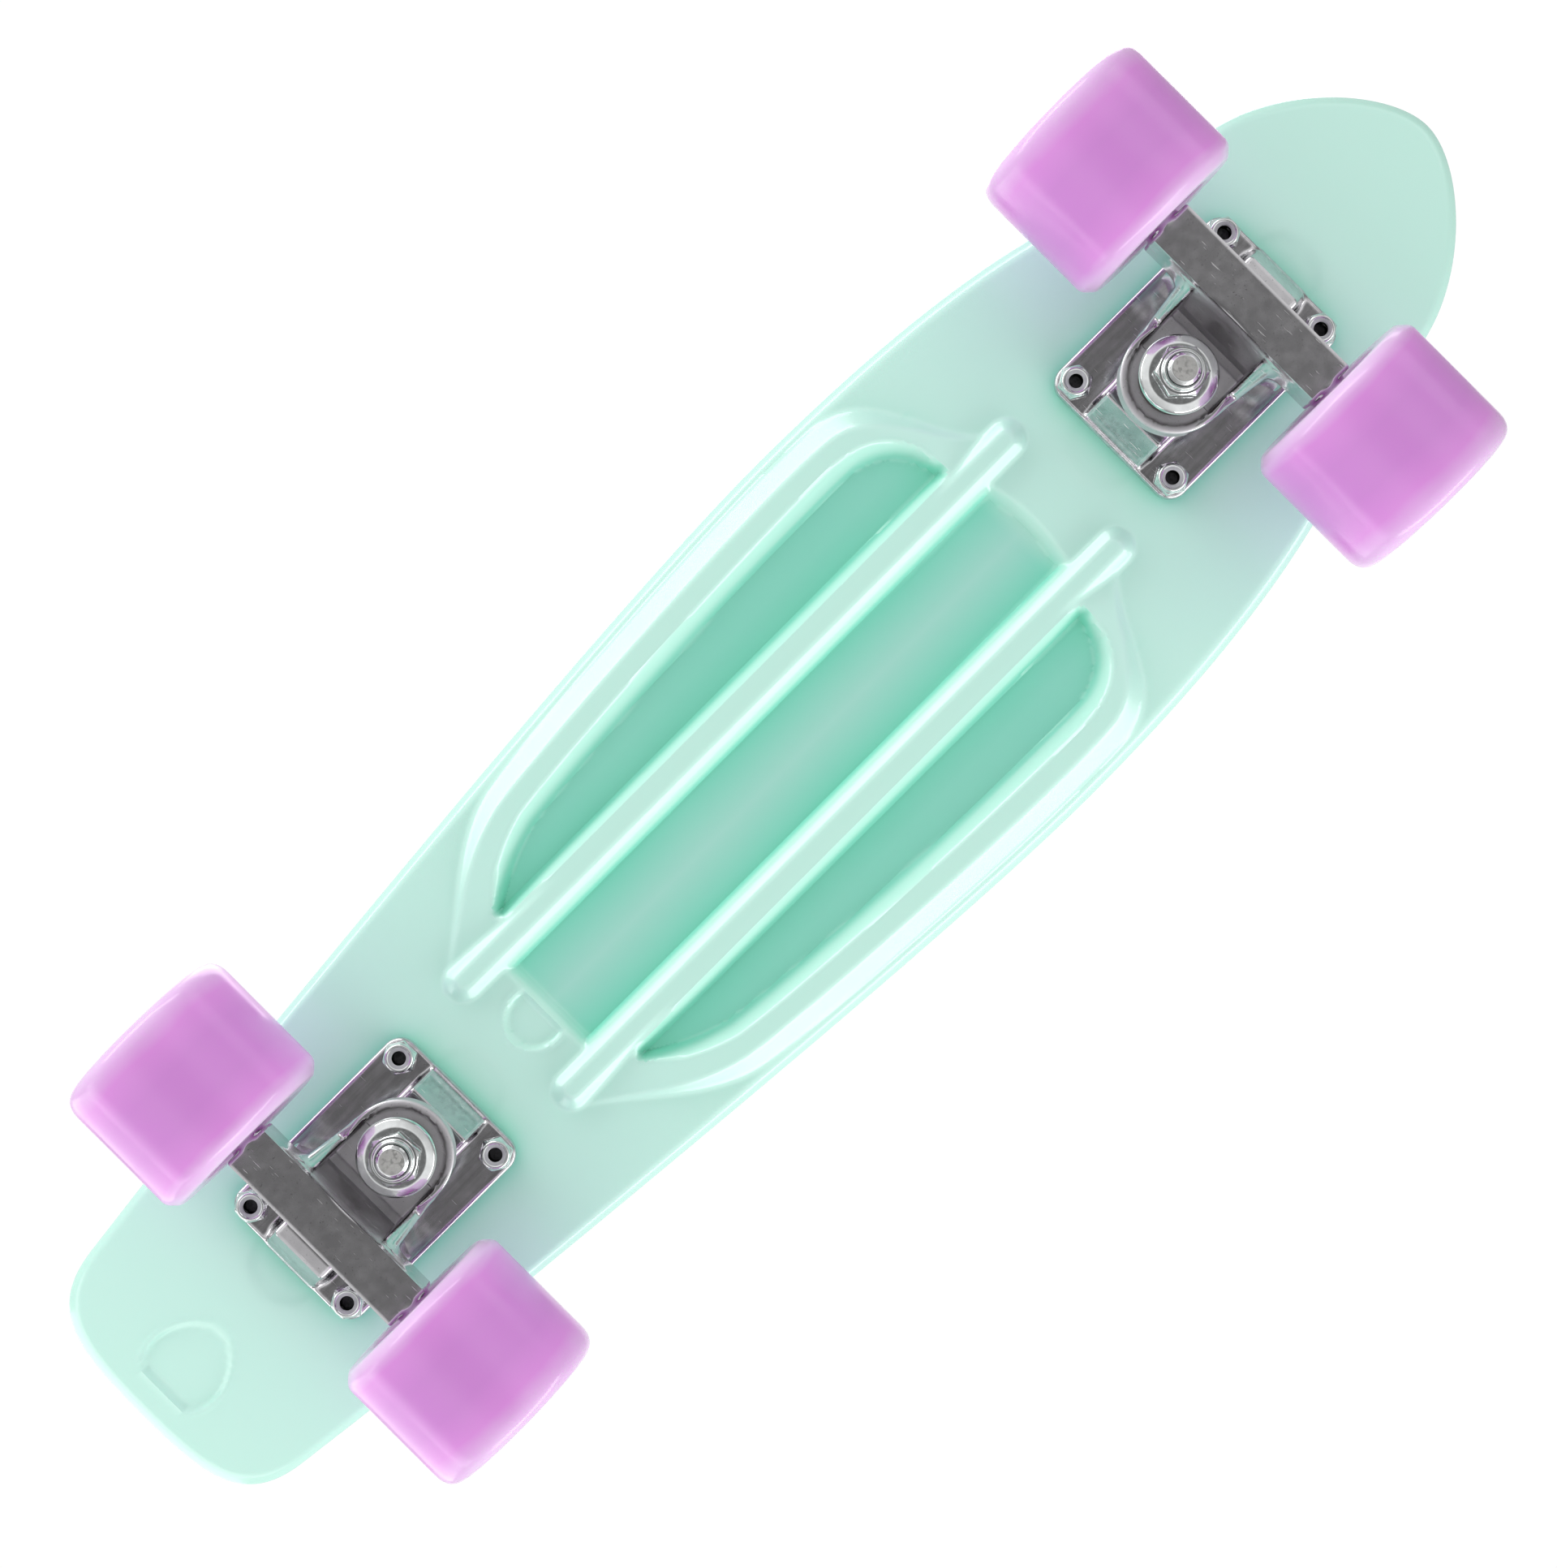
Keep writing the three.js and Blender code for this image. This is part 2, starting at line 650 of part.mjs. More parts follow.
// The parts the axle nut clamps: washer, inner race, spacer, inner race, washer.
function axleSleeve() {
  const bore = axleRadius + GAP;
  const washer = 7.6;
  const outerWasherHeight = 0.9;
  const race = 5.9;
  const start = hangerEnd + GAP;
  const end = bearingOuterEnd + GAP + outerWasherHeight;
  return aboutAxle([
    [bore, start],
    [washer, start],
    [washer, bearingInnerFace - GAP],
    [race, bearingInnerFace - GAP],
    [race, bearingOuterEnd + GAP],
    [washer, bearingOuterEnd + GAP],
    [washer, end],
    [bore, end],
  ], SMALL_SIDES);
}

function axleNut() {
  const start = bearingOuterEnd + 1.5; // outside the sleeve's washer
  const hexEnd = start + 4.6;
  const collarEnd = start + 6.5;
  const acrossFlats = 12.7;
  const cornerRadius = acrossFlats / Math.sqrt(3);
  const collarRadius = 5.6;
  const boreRadius = axleRadius + GAP;
  const along = (radius, from, to, sides) => toSolid(
    new THREE.CylinderGeometry(radius, radius, to - from, sides).translate(0, (from + to) / 2, 0));
  const hexagon = along(cornerRadius, start, hexEnd, 6);
  const collar = along(collarRadius, start + CUT, collarEnd, SMALL_SIDES);
  return joined(hexagon, collar).subtract(along(boreRadius, start - CUT, collarEnd + CUT, SMALL_SIDES));
}

// ---- Assembly -----------------------------------------------------------------------------------

const skateboard = new THREE.Group();

function addMesh(parent, name, geometry, material) {
  const mesh = new THREE.Mesh(geometry, material.clone());
  mesh.name = name;
  parent.add(mesh);
  return mesh;
}

addMesh(skateboard, 'deck', toGeometry(deck()), materials.mintPlastic);

const upperBushingTop = bossFace - 2 * GAP - washerHeight;
const upperBushing = bushing(ringFaceUp + GAP, upperBushingTop, bushingFoot, upperBushingRadius);
const lowerBushing = bushing(roadWasherTop + GAP, ringFaceDown - GAP, bushingFoot, lowerBushingRadius);

const truckParts = [
  ['baseplate', baseplate(), materials.castMetal],
  ['pivot_cup', pivotCup(), materials.whiteNylon],
  ['kingpin', kingpin(), materials.zincSteel],
  ['upper_washer', cupWasher(bossFace - GAP, -1), materials.zincSteel],
  ['upper_bushing', upperBushing, materials.darkUrethane],
  ['hanger', hanger(), materials.castMetal],
  ['lower_bushing', lowerBushing, materials.darkUrethane],
  ['lower_washer', cupWasher(roadWasherTop - washerHeight, 1), materials.zincSteel],
  ['axle', axle(), materials.zincSteel],
];

const kingpinNutTop = roadWasherTop - washerHeight - GAP;
const kingpinNut = toGeometry(lockNut({
  acrossFlats: kingpinFlats,
  top: kingpinNutTop,
  hexHeight: 5.6,
  collarHeight: 2.4,
  collarRadius: 6,
  boreRadius: kingpinRadius + GAP,
}));
const boltGeometry = toGeometry(deckBolt());
const boltNut = toGeometry(lockNut({
  acrossFlats: 9.5,
  top: plateFlangeFace - GAP,
  hexHeight: 4.2,
  collarHeight: 1.6,
  collarRadius: 4.4,
  boreRadius: boltRadius + GAP,
}));

// The wheel, its bearings, the sleeve on the axle and the axle nut of each side.
const wheelParts = [
  ['wheel', wheel(), materials.pinkUrethane],
  ['inner_bearing', bearing(bearingFaces[0]), materials.zincSteel],
  ['outer_bearing', bearing(bearingFaces[1]), materials.zincSteel],
  ['axle_sleeve', axleSleeve(), materials.zincSteel],
].map(([name, geometry, material]) => [name, toGeometry(toSolid(geometry)), material]);
wheelParts.push(['axle_nut', toGeometry(axleNut()), materials.zincSteel]);

for (const [end, turn] of [['front', 0], ['rear', Math.PI]]) {
  const truck = new THREE.Group();
  truck.position.x = boltPatternX * Math.cos(turn);
  truck.rotation.z = turn;
  skateboard.add(truck);
  for (const [name, solid, material] of truckParts) {
    addMesh(truck, `${end}_${name}`, toGeometry(solid), material);
  }
  addMesh(truck, `${end}_kingpin_nut`, kingpinNut, materials.zincSteel).position.x = kingpinOffset;
  boltPlaces(0).forEach(([x, y], number) => {
    addMesh(truck, `${end}_deck_bolt_${number + 1}`, boltGeometry, materials.zincSteel)
      .position.set(x, y, 0);
    addMesh(truck, `${end}_lock_nut_${number + 1}`, boltNut, materials.zincSteel)
      .position.set(x, y, 0);
  });
  for (const [side, facing] of [['left', 0], ['right', Math.PI]]) {
    for (const [name, geometry, material] of wheelParts) {
      const mesh = addMesh(skateboard, `${end}_${side}_${name}`, geometry, material);
      mesh.position.set(trackAxleX * Math.cos(turn), 0, axleHeight);
      mesh.rotation.z = facing;
    }
  }
}

export default skateboard;
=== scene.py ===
import math

import bpy
import numpy as np
from mathutils import Matrix, Vector


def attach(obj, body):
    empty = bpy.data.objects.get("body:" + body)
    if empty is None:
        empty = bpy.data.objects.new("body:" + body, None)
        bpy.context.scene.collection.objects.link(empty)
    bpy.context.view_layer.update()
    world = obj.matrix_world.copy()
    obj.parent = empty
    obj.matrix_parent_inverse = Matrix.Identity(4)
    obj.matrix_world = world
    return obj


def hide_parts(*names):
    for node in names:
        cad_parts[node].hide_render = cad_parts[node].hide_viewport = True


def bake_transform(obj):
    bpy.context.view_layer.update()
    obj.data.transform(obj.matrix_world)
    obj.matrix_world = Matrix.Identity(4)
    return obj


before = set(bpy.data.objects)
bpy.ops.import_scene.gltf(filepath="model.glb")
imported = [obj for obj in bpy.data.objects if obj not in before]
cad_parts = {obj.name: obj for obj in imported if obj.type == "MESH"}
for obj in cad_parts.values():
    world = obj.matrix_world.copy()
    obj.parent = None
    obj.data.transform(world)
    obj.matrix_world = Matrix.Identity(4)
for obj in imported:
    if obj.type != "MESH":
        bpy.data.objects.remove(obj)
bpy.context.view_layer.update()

MM = 0.001  # metres in a millimetre
GAP = 0.3  # air between pieces that touch, in millimetres

# ---- Driving dimensions, in millimetres ----------------------------------------------------------

WHEEL_INNER_FACE = 34
WHEEL_OUTER_FACE = 79.5
AXLE_HEIGHT = 30
AXLE_RADIUS = 4
AXLE_HALF_LENGTH = 77.2
TRACK_AXLE_X = 188

DECK_HALF_LENGTH = 285
DECK_HALF_WIDTH = 72.4
DECK_UNDERSIDE = 78
DECK_THICKNESS = 8
DECK_TOP = DECK_UNDERSIDE + DECK_THICKNESS
EDGE_RADIUS = 2.5
LOWER_INSET = 4.3  # width of the bevel along the lower edge
KICK_START = 216
KICK_BEND = 24
TAIL_SLOPE = 0.36
NOSE_SLOPE = 0.34
CONCAVE_START = 30
CONCAVE_RISE = 2.5

RIB_FACE = 74  # height of the ribs' crests
RIB_MIDDLE_X = 1.75
RIB_HALF_LENGTH = 117.3
RIB_MIDDLE_Y = 23.4
RIB_CREST_HALF = 2.1
RIB_SLOPE = 0.6  # fall of the straight ribs' shoulders
OUTER_SLOPE = 0.8
INNER_WALL = 2.3  # steepness of the pocket walls beside the straight ribs
OUTER_WALL = 1.35
END_WALL = 1.0
CENTRE_HALF_WIDTH = 15.3
CENTRE_TAIL = -100.5
CENTRE_NOSE = 104.5
POCKET_FLOOR = 81.5

PATTERN_X = 176.75  # middle of each bolt pattern
BOLT_X = 31.75
BOLT_Y = 20.65
BOLT_RADIUS = 2.4
BOLT_HEAD_RADIUS = 4.9
BOLT_PLACES = [(x, y) for x in (-BOLT_X, BOLT_X) for y in (-BOLT_Y, BOLT_Y)]
ENDS = ("front", "rear")

PLATE_HALF_LENGTH = 37.5
PLATE_HALF_WIDTH = 26.75
PLATE_TOP = 77.7
PLATE_FACE = 72.7
KINGPIN_X = -14.25
KINGPIN_RADIUS = 4.76
KINGPIN_BORE = KINGPIN_RADIUS + GAP
KINGPIN_FLATS = 14.3  # across the flats of its head and its nut
KINGPIN_HEAD = 71.9  # lower face of its head
BOSS_FACE = 68
RING_RADIUS = 16.5
RING_UP = 54
RING_DOWN = 47.5
AXLE_X = 11.25
NOSE_RADIUS = 6  # the hanger's round noses, inside the wheels
HOUSING_END = 33.5
NOSE_END = 42.5
PIVOT_X = 23.25
PIVOT_HEIGHT = 68
PIVOT_BALL = 5
PIVOT_CUP_RADIUS = 7
PIVOT_CUP_TOP = 6  # along the steering axis, from the pivot
PIVOT_CUP_MOUTH = -4
STEER_X = 0.90849  # the steering axis, in the plane of X and Z
STEER_Z = 0.41791

BEARING_FACES = (44, 61)  # where each wheel's inner and outer bearing start


# ---- Small maths ---------------------------------------------------------------------------------


def ease(t):
    t = np.clip(t, 0, 1)
    return t * t * (3 - 2 * t)


def lower_of(a, b, soft):
    """The lower of two fields, rounded where they cross."""
    near = np.maximum(soft - np.abs(a - b), 0) / soft
    return np.minimum(a, b) - near * near * soft / 4


def higher_of(a, b, soft):
    return -lower_of(-a, -b, soft)


def carved(a, tool, soft):
    """Field a with the solid of field tool cut away, and the cut's edges rounded."""
    return -lower_of(-a, tool, soft)


def bezier(corners, steps):
    """Points along a Bezier curve, or along a straight line if it has two corners."""
    t = np.linspace(0, 1, steps)[:, None]
    points = [np.array(corner, float) for corner in corners]
    while len(points) > 1:
        points = [a + (b - a) * t for a, b in zip(points, points[1:])]
    return points[0]


def path(*curves, steps=24):
    """Joins curves, each given by its corners, into one run of points."""
    runs = [bezier(corners, 2 if len(corners) == 2 else steps) for corners in curves]
    joined = np.concatenate(runs)
    keep = np.r_[True, np.hypot(*np.diff(joined, axis=0).T) > 1e-6]
    return joined[keep]


def outline_distance(corners, x, y):
    """Signed distance from points to a closed outline, negative inside it."""
    corners = np.asarray(corners, float)
    shape = np.broadcast(x, y).shape
    nearest = np.full(shape, 1e9)
    inside = np.zeros(shape, bool)
    for (ax, ay), (bx, by) in zip(corners, np.roll(corners, -1, axis=0)):
        ex, ey = bx - ax, by - ay
        if ex == 0 and ey == 0:
            continue
        t = np.clip(((x - ax) * ex + (y - ay) * ey) / (ex * ex + ey * ey), 0, 1)
        nearest = np.minimum(nearest, (x - ax - t * ex) ** 2 + (y - ay - t * ey) ** 2)
        if ey:
            inside ^= ((ay > y) != (by > y)) & (x < ax + (y - ay) * ex / ey)
    return np.where(inside, -1, 1) * np.sqrt(nearest)


def both(a, b, edge):
    """What is inside both fields, with the corner where they meet rounded by edge."""
    a, b = a + edge, b + edge
    return np.hypot(np.maximum(a, 0), np.maximum(b, 0)) + np.minimum(np.maximum(a, b), 0) - edge


def between(flat, low, high, along, edge):
    """A flat field made into a solid from low to high, with its edges rounded by edge."""
    return both(flat, np.abs(along - (low + high) / 2) - (high - low) / 2, edge)


# ---- Making meshes -------------------------------------------------------------------------------


def outward(points, faces):
    """The faces, turned over if they point inwards, which makes the volume inside them negative."""
    volume = 0
    for corners in ((0, 1, 2), (0, 2, -1)):
        a, b, c = (points[[face[k] for face in faces]] for k in corners)
        volume += np.einsum("ij,ij->", a, np.cross(b, c))
    return faces if volume > 0 else [face[::-1] for face in faces]


def in_scene(name, data):
    made = bpy.data.objects.new(name, data)
    bpy.context.scene.collection.objects.link(made)
    return made


def piece(name, points, faces, body, nodes, materials, which=None, crease=32):
    """Makes one smooth-shaded piece from points in millimetres and puts it on its body."""
    mesh = bpy.data.meshes.new(name)
    mesh.from_pydata((np.asarray(points) * MM).tolist(), [], faces)
    mesh.validate()
    mesh.shade_smooth()
    mesh.set_sharp_from_angle(angle=math.radians(crease))
    for material in materials:
        mesh.materials.append(material)
    if which is not None:
        mesh.polygons.foreach_set("material_index", np.asarray(which, np.int32))
    made = in_scene(name, mesh)
    if body:
        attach(made, body)
    if nodes:
        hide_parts(*nodes)
    return made


def softened(profile, closed):
    """Rounds a profile's corners: each entry is radius, height and how far back the round starts."""
    entries = [tuple(entry) + (0,) * (3 - len(entry)) for entry in profile]
    points = []
    marks = []
    count = len(entries)
    for i, (radius, height, soft) in enumerate(entries):
        here = np.array([radius, height], float)
        if not soft or (not closed and i in (0, count - 1)):
            points.append(here)
            marks.append(i)
            continue
        ends = []
        for beside in (entries[i - 1], entries[(i + 1) % count]):
            way = np.array(beside[:2], float) - here
            length = np.hypot(*way)
            ends.append(here + way / length * min(soft, 0.49 * length))
        steps = 4 if soft < 1.5 else 9
        points.extend(bezier([ends[0], here, ends[1]], steps))
        marks.extend([i] * steps)
    return np.array(points), marks


def turned(profile, sides=72, flats=None, socket=None, closed=False):
    """A solid about the Z axis. flats limits it to a hexagon, and socket makes that radius one."""
    rings, marks = softened(profile, closed)
    angles = np.arange(sides) * 2 * math.pi / sides
    fold = (angles + math.pi / 6) % (math.pi / 3) - math.pi / 6
    points = []
    starts = []
    for radius, height in rings:
        starts.append(len(points))
        if radius < 1e-6:
            points.append((0, 0, height))
            continue
        reach = np.full(sides, radius)
        if flats:
            reach = np.minimum(reach, flats / 2 / np.cos(fold))
        if socket and abs(radius - socket) < 1e-6:
            reach = socket / np.cos(fold)
        points.extend(zip(reach * np.cos(angles), reach * np.sin(angles), [height] * sides))
    faces = []
    owners = []
    for i in range(len(rings) if closed else len(rings) - 1):
        pair = (i, (i + 1) % len(rings))
        a, b = (starts[n] for n in pair)
        step_a, step_b = (0 if rings[n][0] < 1e-6 else 1 for n in pair)
        for k in range(sides):
            n = (k + 1) % sides
            corners = (a + k * step_a, b + k * step_b, b + n * step_b, a + n * step_a)
            faces.append(tuple(dict.fromkeys(corners)))  # a point on the axis counts once
            owners.append(marks[i])
    points = np.array(points, float)
    return points, outward(points, faces), owners


def skin(field, low, high, step):
    """The surface where a field is zero, as quads, with its points moved on to the exact surface."""
    axes = [np.arange(a, b + step, step) for a, b in zip(low, high)]
    grids = (axes[0][:, None, None], axes[1][None, :, None], axes[2][None, None, :])
    values = np.broadcast_to(field(*grids), [len(axis) for axis in axes])
    inside = values < 0
    count = np.zeros([n - 1 for n in inside.shape], np.uint8)
    corners = [(i, j, k) for i in (0, 1) for j in (0, 1) for k in (0, 1)]
    nx, ny, nz = count.shape
    for i, j, k in corners:
        count += inside[i : i + nx, j : j + ny, k : k + nz]
    cells = np.argwhere((count > 0) & (count < 8))
    index = np.full(count.shape, -1, np.int64)
    index[tuple(cells.T)] = np.arange(len(cells))
    total = np.zeros((len(cells), 3))
    hits = np.zeros((len(cells), 1))
    for a in corners:
        for axis in range(3):
            if a[axis]:
                continue
            b = tuple(1 if n == axis else a[n] for n in range(3))
            va = values[tuple((cells + a).T)]
            vb = values[tuple((cells + b).T)]
            crossed = (va < 0) != (vb < 0)
            t = np.where(crossed, va / np.where(crossed, va - vb, 1), 0)
            point = np.array(a, float) + t[:, None] * (np.array(b, float) - a)
            total += np.where(crossed[:, None], point, 0)
            hits += crossed[:, None]
    points = (cells + total / hits) * step + np.array(low, float)
    nudge = 0.02
    for _ in range(2):
        here = field(*points.T)
        slope = np.stack([field(*(points + nudge * np.eye(3)[n]).T) - here for n in range(3)], 1) / nudge
        size = np.maximum((slope**2).sum(1), 0.25)
        move = np.clip(here / size, -step / 2, step / 2)
        points = points - move[:, None] * slope
    quads = []
    for axis in range(3):
        first = np.delete(inside, -1, axis)
        places = np.argwhere(first != np.delete(inside, 0, axis))
        leaving = first[tuple(places.T)]
        u, v = (axis + 1) % 3, (axis + 2) % 3
        ring = []
        for du, dv in ((-1, -1), (0, -1), (0, 0), (-1, 0)):
            cell = places.copy()
            cell[:, u] += du
            cell[:, v] += dv
            ring.append(index[tuple(cell.T)])
        ring = np.stack(ring, 1)
        quads.append(np.where(leaving[:, None], ring, ring[:, ::-1]))
    return points, np.concatenate(quads).tolist()


# ---- Materials -----------------------------------------------------------------------------------


def map_range(tree, value, *limits):
    """A node that maps the first two limits to the last two."""
    node = tree.nodes.new("ShaderNodeMapRange")
    for key, number in zip(("From Min", "From Max", "To Min", "To Max"), limits):
        node.inputs[key].default_value = number
    tree.links.new(value, node.inputs["Value"])
    return node


def colour_ramp(tree, value, stops):
    node = tree.nodes.new("ShaderNodeValToRGB")
    elements = node.color_ramp.elements
    while len(elements) < len(stops):
        elements.new(0.5)
    for element, (place, colour) in zip(elements, stops):
        element.position = place
        element.color = (*colour, 1)
    tree.links.new(value, node.inputs["Fac"])
    return node.outputs["Color"]


class Finish:
    """A procedural material: a Principled shader, and short calls that add nodes to it."""

    def __init__(self, name, roughness, metallic=0.0, **fixed):
        self.material = bpy.data.materials.new(name)
        self.material.use_nodes = True
        self.tree = self.material.node_tree
        self.shader = self.tree.nodes["Principled BSDF"]
        self.shader.inputs["Roughness"].default_value = roughness
        self.shader.inputs["Metallic"].default_value = metallic
        for key, value in fixed.items():
            self.shader.inputs[key.replace("_", " ")].default_value = value
        self.place = self.new("TexCoord").outputs["Object"]

    def link(self, source, target):
        self.tree.links.new(source, target)

    def new(self, kind, **values):
        node = self.tree.nodes.new("ShaderNode" + kind)
        for key, value in values.items():
            node.inputs[key].default_value = value
        return node

    def noise(self, scale, stretch=(1, 1, 1), detail=3.0, turn=(0, 0, 0)):
        """Noise in lumps of 1/scale metres, stretched and turned as asked."""
        mapping = self.new("Mapping", Scale=stretch, Rotation=turn)
        node = self.new("TexNoise", Scale=scale, Detail=detail)
        self.link(self.place, mapping.inputs["Vector"])
        self.link(mapping.outputs["Vector"], node.inputs["Vector"])
        return node.outputs["Fac"]

    def spread(self, value, *limits):
        node = map_range(self.tree, value, *limits)
        node.interpolation_type = "SMOOTHSTEP"
        return node.outputs["Result"]

    def maths(self, kind, a, b):
        node = self.new("Math")
        node.operation = kind
        for socket, value in zip(node.inputs, (a, b)):
            if isinstance(value, (int, float)):
                socket.default_value = value
            else:
                self.link(value, socket)
        return node.outputs[0]

    def times(self, a, b):
        return self.maths("MULTIPLY", a, b)

    def axis(self, name, shift=0.0):
        """Distance in metres along one axis of the frame."""
        node = self.new("SeparateXYZ")
        self.link(self.place, node.inputs[0])
        return self.maths("ADD", node.outputs[name], shift)

    def off_middle(self, name):
        """Distance in metres from the middle of the board along one axis, to either side."""
        return self.maths("ABSOLUTE", self.axis(name), 0)

    def colours(self, value, *stops):
        return colour_ramp(self.tree, value, stops)

    def mixed(self, factor, a, b):
        """Two colours mixed by a factor: a colour is a tuple or another node's output."""
        node = self.new("Mix")
        node.data_type = "RGBA"
        self.link(factor, node.inputs["Factor"])
        for socket, colour in zip([n for n in node.inputs if n.type == "RGBA"], (a, b)):
            if isinstance(colour, tuple):
                socket.default_value = (*colour, 1)
            else:
                self.link(colour, socket)
        return next(out for out in node.outputs if out.type == "RGBA")

    def bump(self, value, strength, distance):
        node = self.new("Bump", Strength=strength, Distance=distance)
        self.link(value, node.inputs["Height"])
        normal = self.shader.inputs["Normal"]
        if normal.is_linked:
            self.link(normal.links[0].from_socket, node.inputs["Normal"])
        self.link(node.outputs["Normal"], normal)

    def colour(self, value):
        self.link(value, self.shader.inputs["Base Color"])

    def rough(self, value):
        self.link(value, self.shader.inputs["Roughness"])


def mint_plastic():
    """Glossy coloured plastic, with painted shade: deeper tones on the floors of the pockets, beside their
    ribs and in the corners.
    """
    finish = Finish("mint_plastic", 0.2, Subsurface_Weight=0.1, Subsurface_Scale=0.004,
                    Subsurface_Radius=(0.6, 1.0, 0.9), Specular_IOR_Level=0.85)
    # The plastic's own mint, a random paler tone, and a deeper tone used for painted shade.
    light, pale, pocket_shade_tone = (0.615, 0.962, 0.84), (0.62, 0.92, 0.84), (0.27, 0.83, 0.645)
    pocket_shade_tones = ((0.0, (0.48, 0.91, 0.785)), (0.29, pocket_shade_tone), (0.62, pocket_shade_tone), (0.8, (0.34, 0.88, 0.71)))
    across = finish.off_middle("Y")
    # Painted shade on the floors of the pockets: a band of heights, inside the ribs in X and in Y.
    height = finish.spread(finish.axis("Z"), (DECK_UNDERSIDE - 0.5) * MM, POCKET_FLOOR * MM, 0, 1)
    not_top = finish.spread(finish.axis("Z"), 0.0826, 0.083, 1, 0)
    in_ribs = finish.spread(finish.off_middle("X"), 0.098, 0.108, 1, 0)
    past_tail_bend = finish.maths("MAXIMUM", finish.times(finish.axis("X", 0.066), -0.45), 0)
    near_middle = finish.spread(finish.maths("ADD", across, past_tail_bend), 0.0505, 0.0515, 1, 0)
    depth = finish.times(finish.times(height, in_ribs), finish.times(near_middle, not_top))
    # Painted shade: the pocket floors are mixed towards deeper tones, lighter in the middle and deepest
    # beside the rib walls.
    base = finish.mixed(depth, light, finish.colours(finish.times(across, 20), *pocket_shade_tones))
    # Painted contact shade: the mint is darkened to a deeper tone where ambient occlusion finds corners, rib
    # feet and crevices.
    corner = finish.new("AmbientOcclusion", Distance=0.012)
    corner.samples = 8
    shade = finish.spread(corner.outputs["AO"], 0.55, 0.98, 0.75, 0)
    base = finish.mixed(shade, base, (0.27, 0.83, 0.64))
    cloud = finish.spread(finish.noise(22, detail=1), 0.3, 0.7, 0, 0.07)
    finish.colour(finish.mixed(cloud, base, pale))
    finish.rough(finish.spread(finish.noise(60, (1, 0.5, 1)), 0.3, 0.7, 0.19, 0.23))
    finish.bump(finish.noise(1200, detail=1), 0.015, 0.0001)
    return finish.material


def cast_metal(name, tone):
    """Polished casting: soft clouds, lengthwise polishing lines, scratches and pits, rougher inside."""
    finish = Finish(name, 0.22, 1.0)
    lines = finish.noise(620, (0.045, 1, 1), detail=2)
    base = finish.colours(finish.noise(140), (0.3, tuple(0.86 * t for t in tone)), (0.7, tone))
    on_plate = finish.spread(finish.axis("Z"), 0.064, 0.066, 0, 1)
    streaks = finish.times(finish.spread(lines, 0.35, 0.65, 0, 0.6), on_plate)
    base = finish.mixed(streaks, base, tuple(0.68 * t for t in tone))
    pits = finish.spread(finish.noise(1900, detail=1), 0.7, 0.74, 0, 0.55)
    scratch = finish.spread(finish.noise(2200, (1, 0.07, 0.3), detail=1, turn=(0, 0, 0.5)), 0.72, 0.76, 0, 1)
    base = finish.mixed(finish.times(scratch, 0.5), base, (0.95, 0.95, 0.95))
    finish.colour(finish.mixed(pits, base, (0.25, 0.24, 0.25)))
    rough = finish.spread(finish.noise(260), 0.3, 0.7, 0.12, 0.2)
    rough = finish.maths("ADD", rough, finish.times(scratch, 0.2))
    # The hollow between the hanger's arms, which the polishing doesn't reach.
    between_arms = finish.spread(finish.off_middle("Y"), 0.0136, 0.0146, 1, 0)
    above_face = finish.spread(finish.axis("Z"), 0.0245, 0.0265, 0, 1)
    under_plate = finish.spread(finish.axis("Z"), 0.0545, 0.055, 1, 0)
    inside = finish.times(between_arms, finish.times(above_face, under_plate))
    finish.rough(finish.maths("ADD", rough, finish.times(inside, 0.35)))
    finish.bump(finish.times(lines, on_plate), 0.04, 0.0001)
    finish.bump(finish.noise(220, detail=1), 0.08, 0.0003)
    return finish.material


def plated_steel(name, tone, roughness):
    finish = Finish(name, roughness, 1.0)
    finish.colour(finish.colours(finish.noise(300), (0.3, tuple(0.86 * t for t in tone)), (0.7, tone)))
    marks = finish.noise(900, (1, 1, 0.2), detail=2)
    finish.rough(finish.spread(marks, 0.35, 0.65, roughness * 0.7, roughness * 1.5))
    finish.bump(marks, 0.012, 0.0001)
    return finish.material


def plain_plastic(name, dark, light, roughness, grain):
    finish = Finish(name, roughness)
    finish.colour(finish.colours(finish.noise(grain), (0.3, dark), (0.7, light)))
    finish.rough(finish.spread(finish.noise(grain * 2), 0.3, 0.7, roughness * 0.8, roughness * 1.2))
    finish.bump(finish.noise(grain * 4, detail=2), 0.05, 0.0001)
    return finish.material


def pink_urethane():
    """Cast urethane with painted light: pale glowing bands at both ends, fading to a deeper middle over the
    hub.
    """
    finish = Finish("pink_urethane", 0.2, Subsurface_Weight=0.3, Subsurface_Scale=0.006,
                    Subsurface_Radius=(1.0, 0.5, 1.0))
    along = finish.spread(finish.off_middle("Y"), WHEEL_INNER_FACE * MM, WHEEL_OUTER_FACE * MM, 0, 1)
    along.node.interpolation_type = "LINEAR"
    place = finish.maths("ADD", along, finish.spread(finish.noise(40), 0.3, 0.7, -0.015, 0.015))
    # Painted light: the pale tones at both ends stand for light glowing through the urethane, shading
    # through hot pink to the deeper core.
    pale, hot, core = (0.88, 0.66, 0.94), (0.80, 0.33, 0.82), (0.72, 0.30, 0.76)
    base = finish.colours(place, (0.0, pale), (0.14, hot), (0.34, core), (0.62, core), (0.8, hot), (1, pale))
    finish.colour(base)
    finish.rough(finish.spread(finish.noise(90), 0.35, 0.65, 0.16, 0.24))
    finish.bump(finish.noise(900, detail=1), 0.02, 0.0001)
    return finish.material


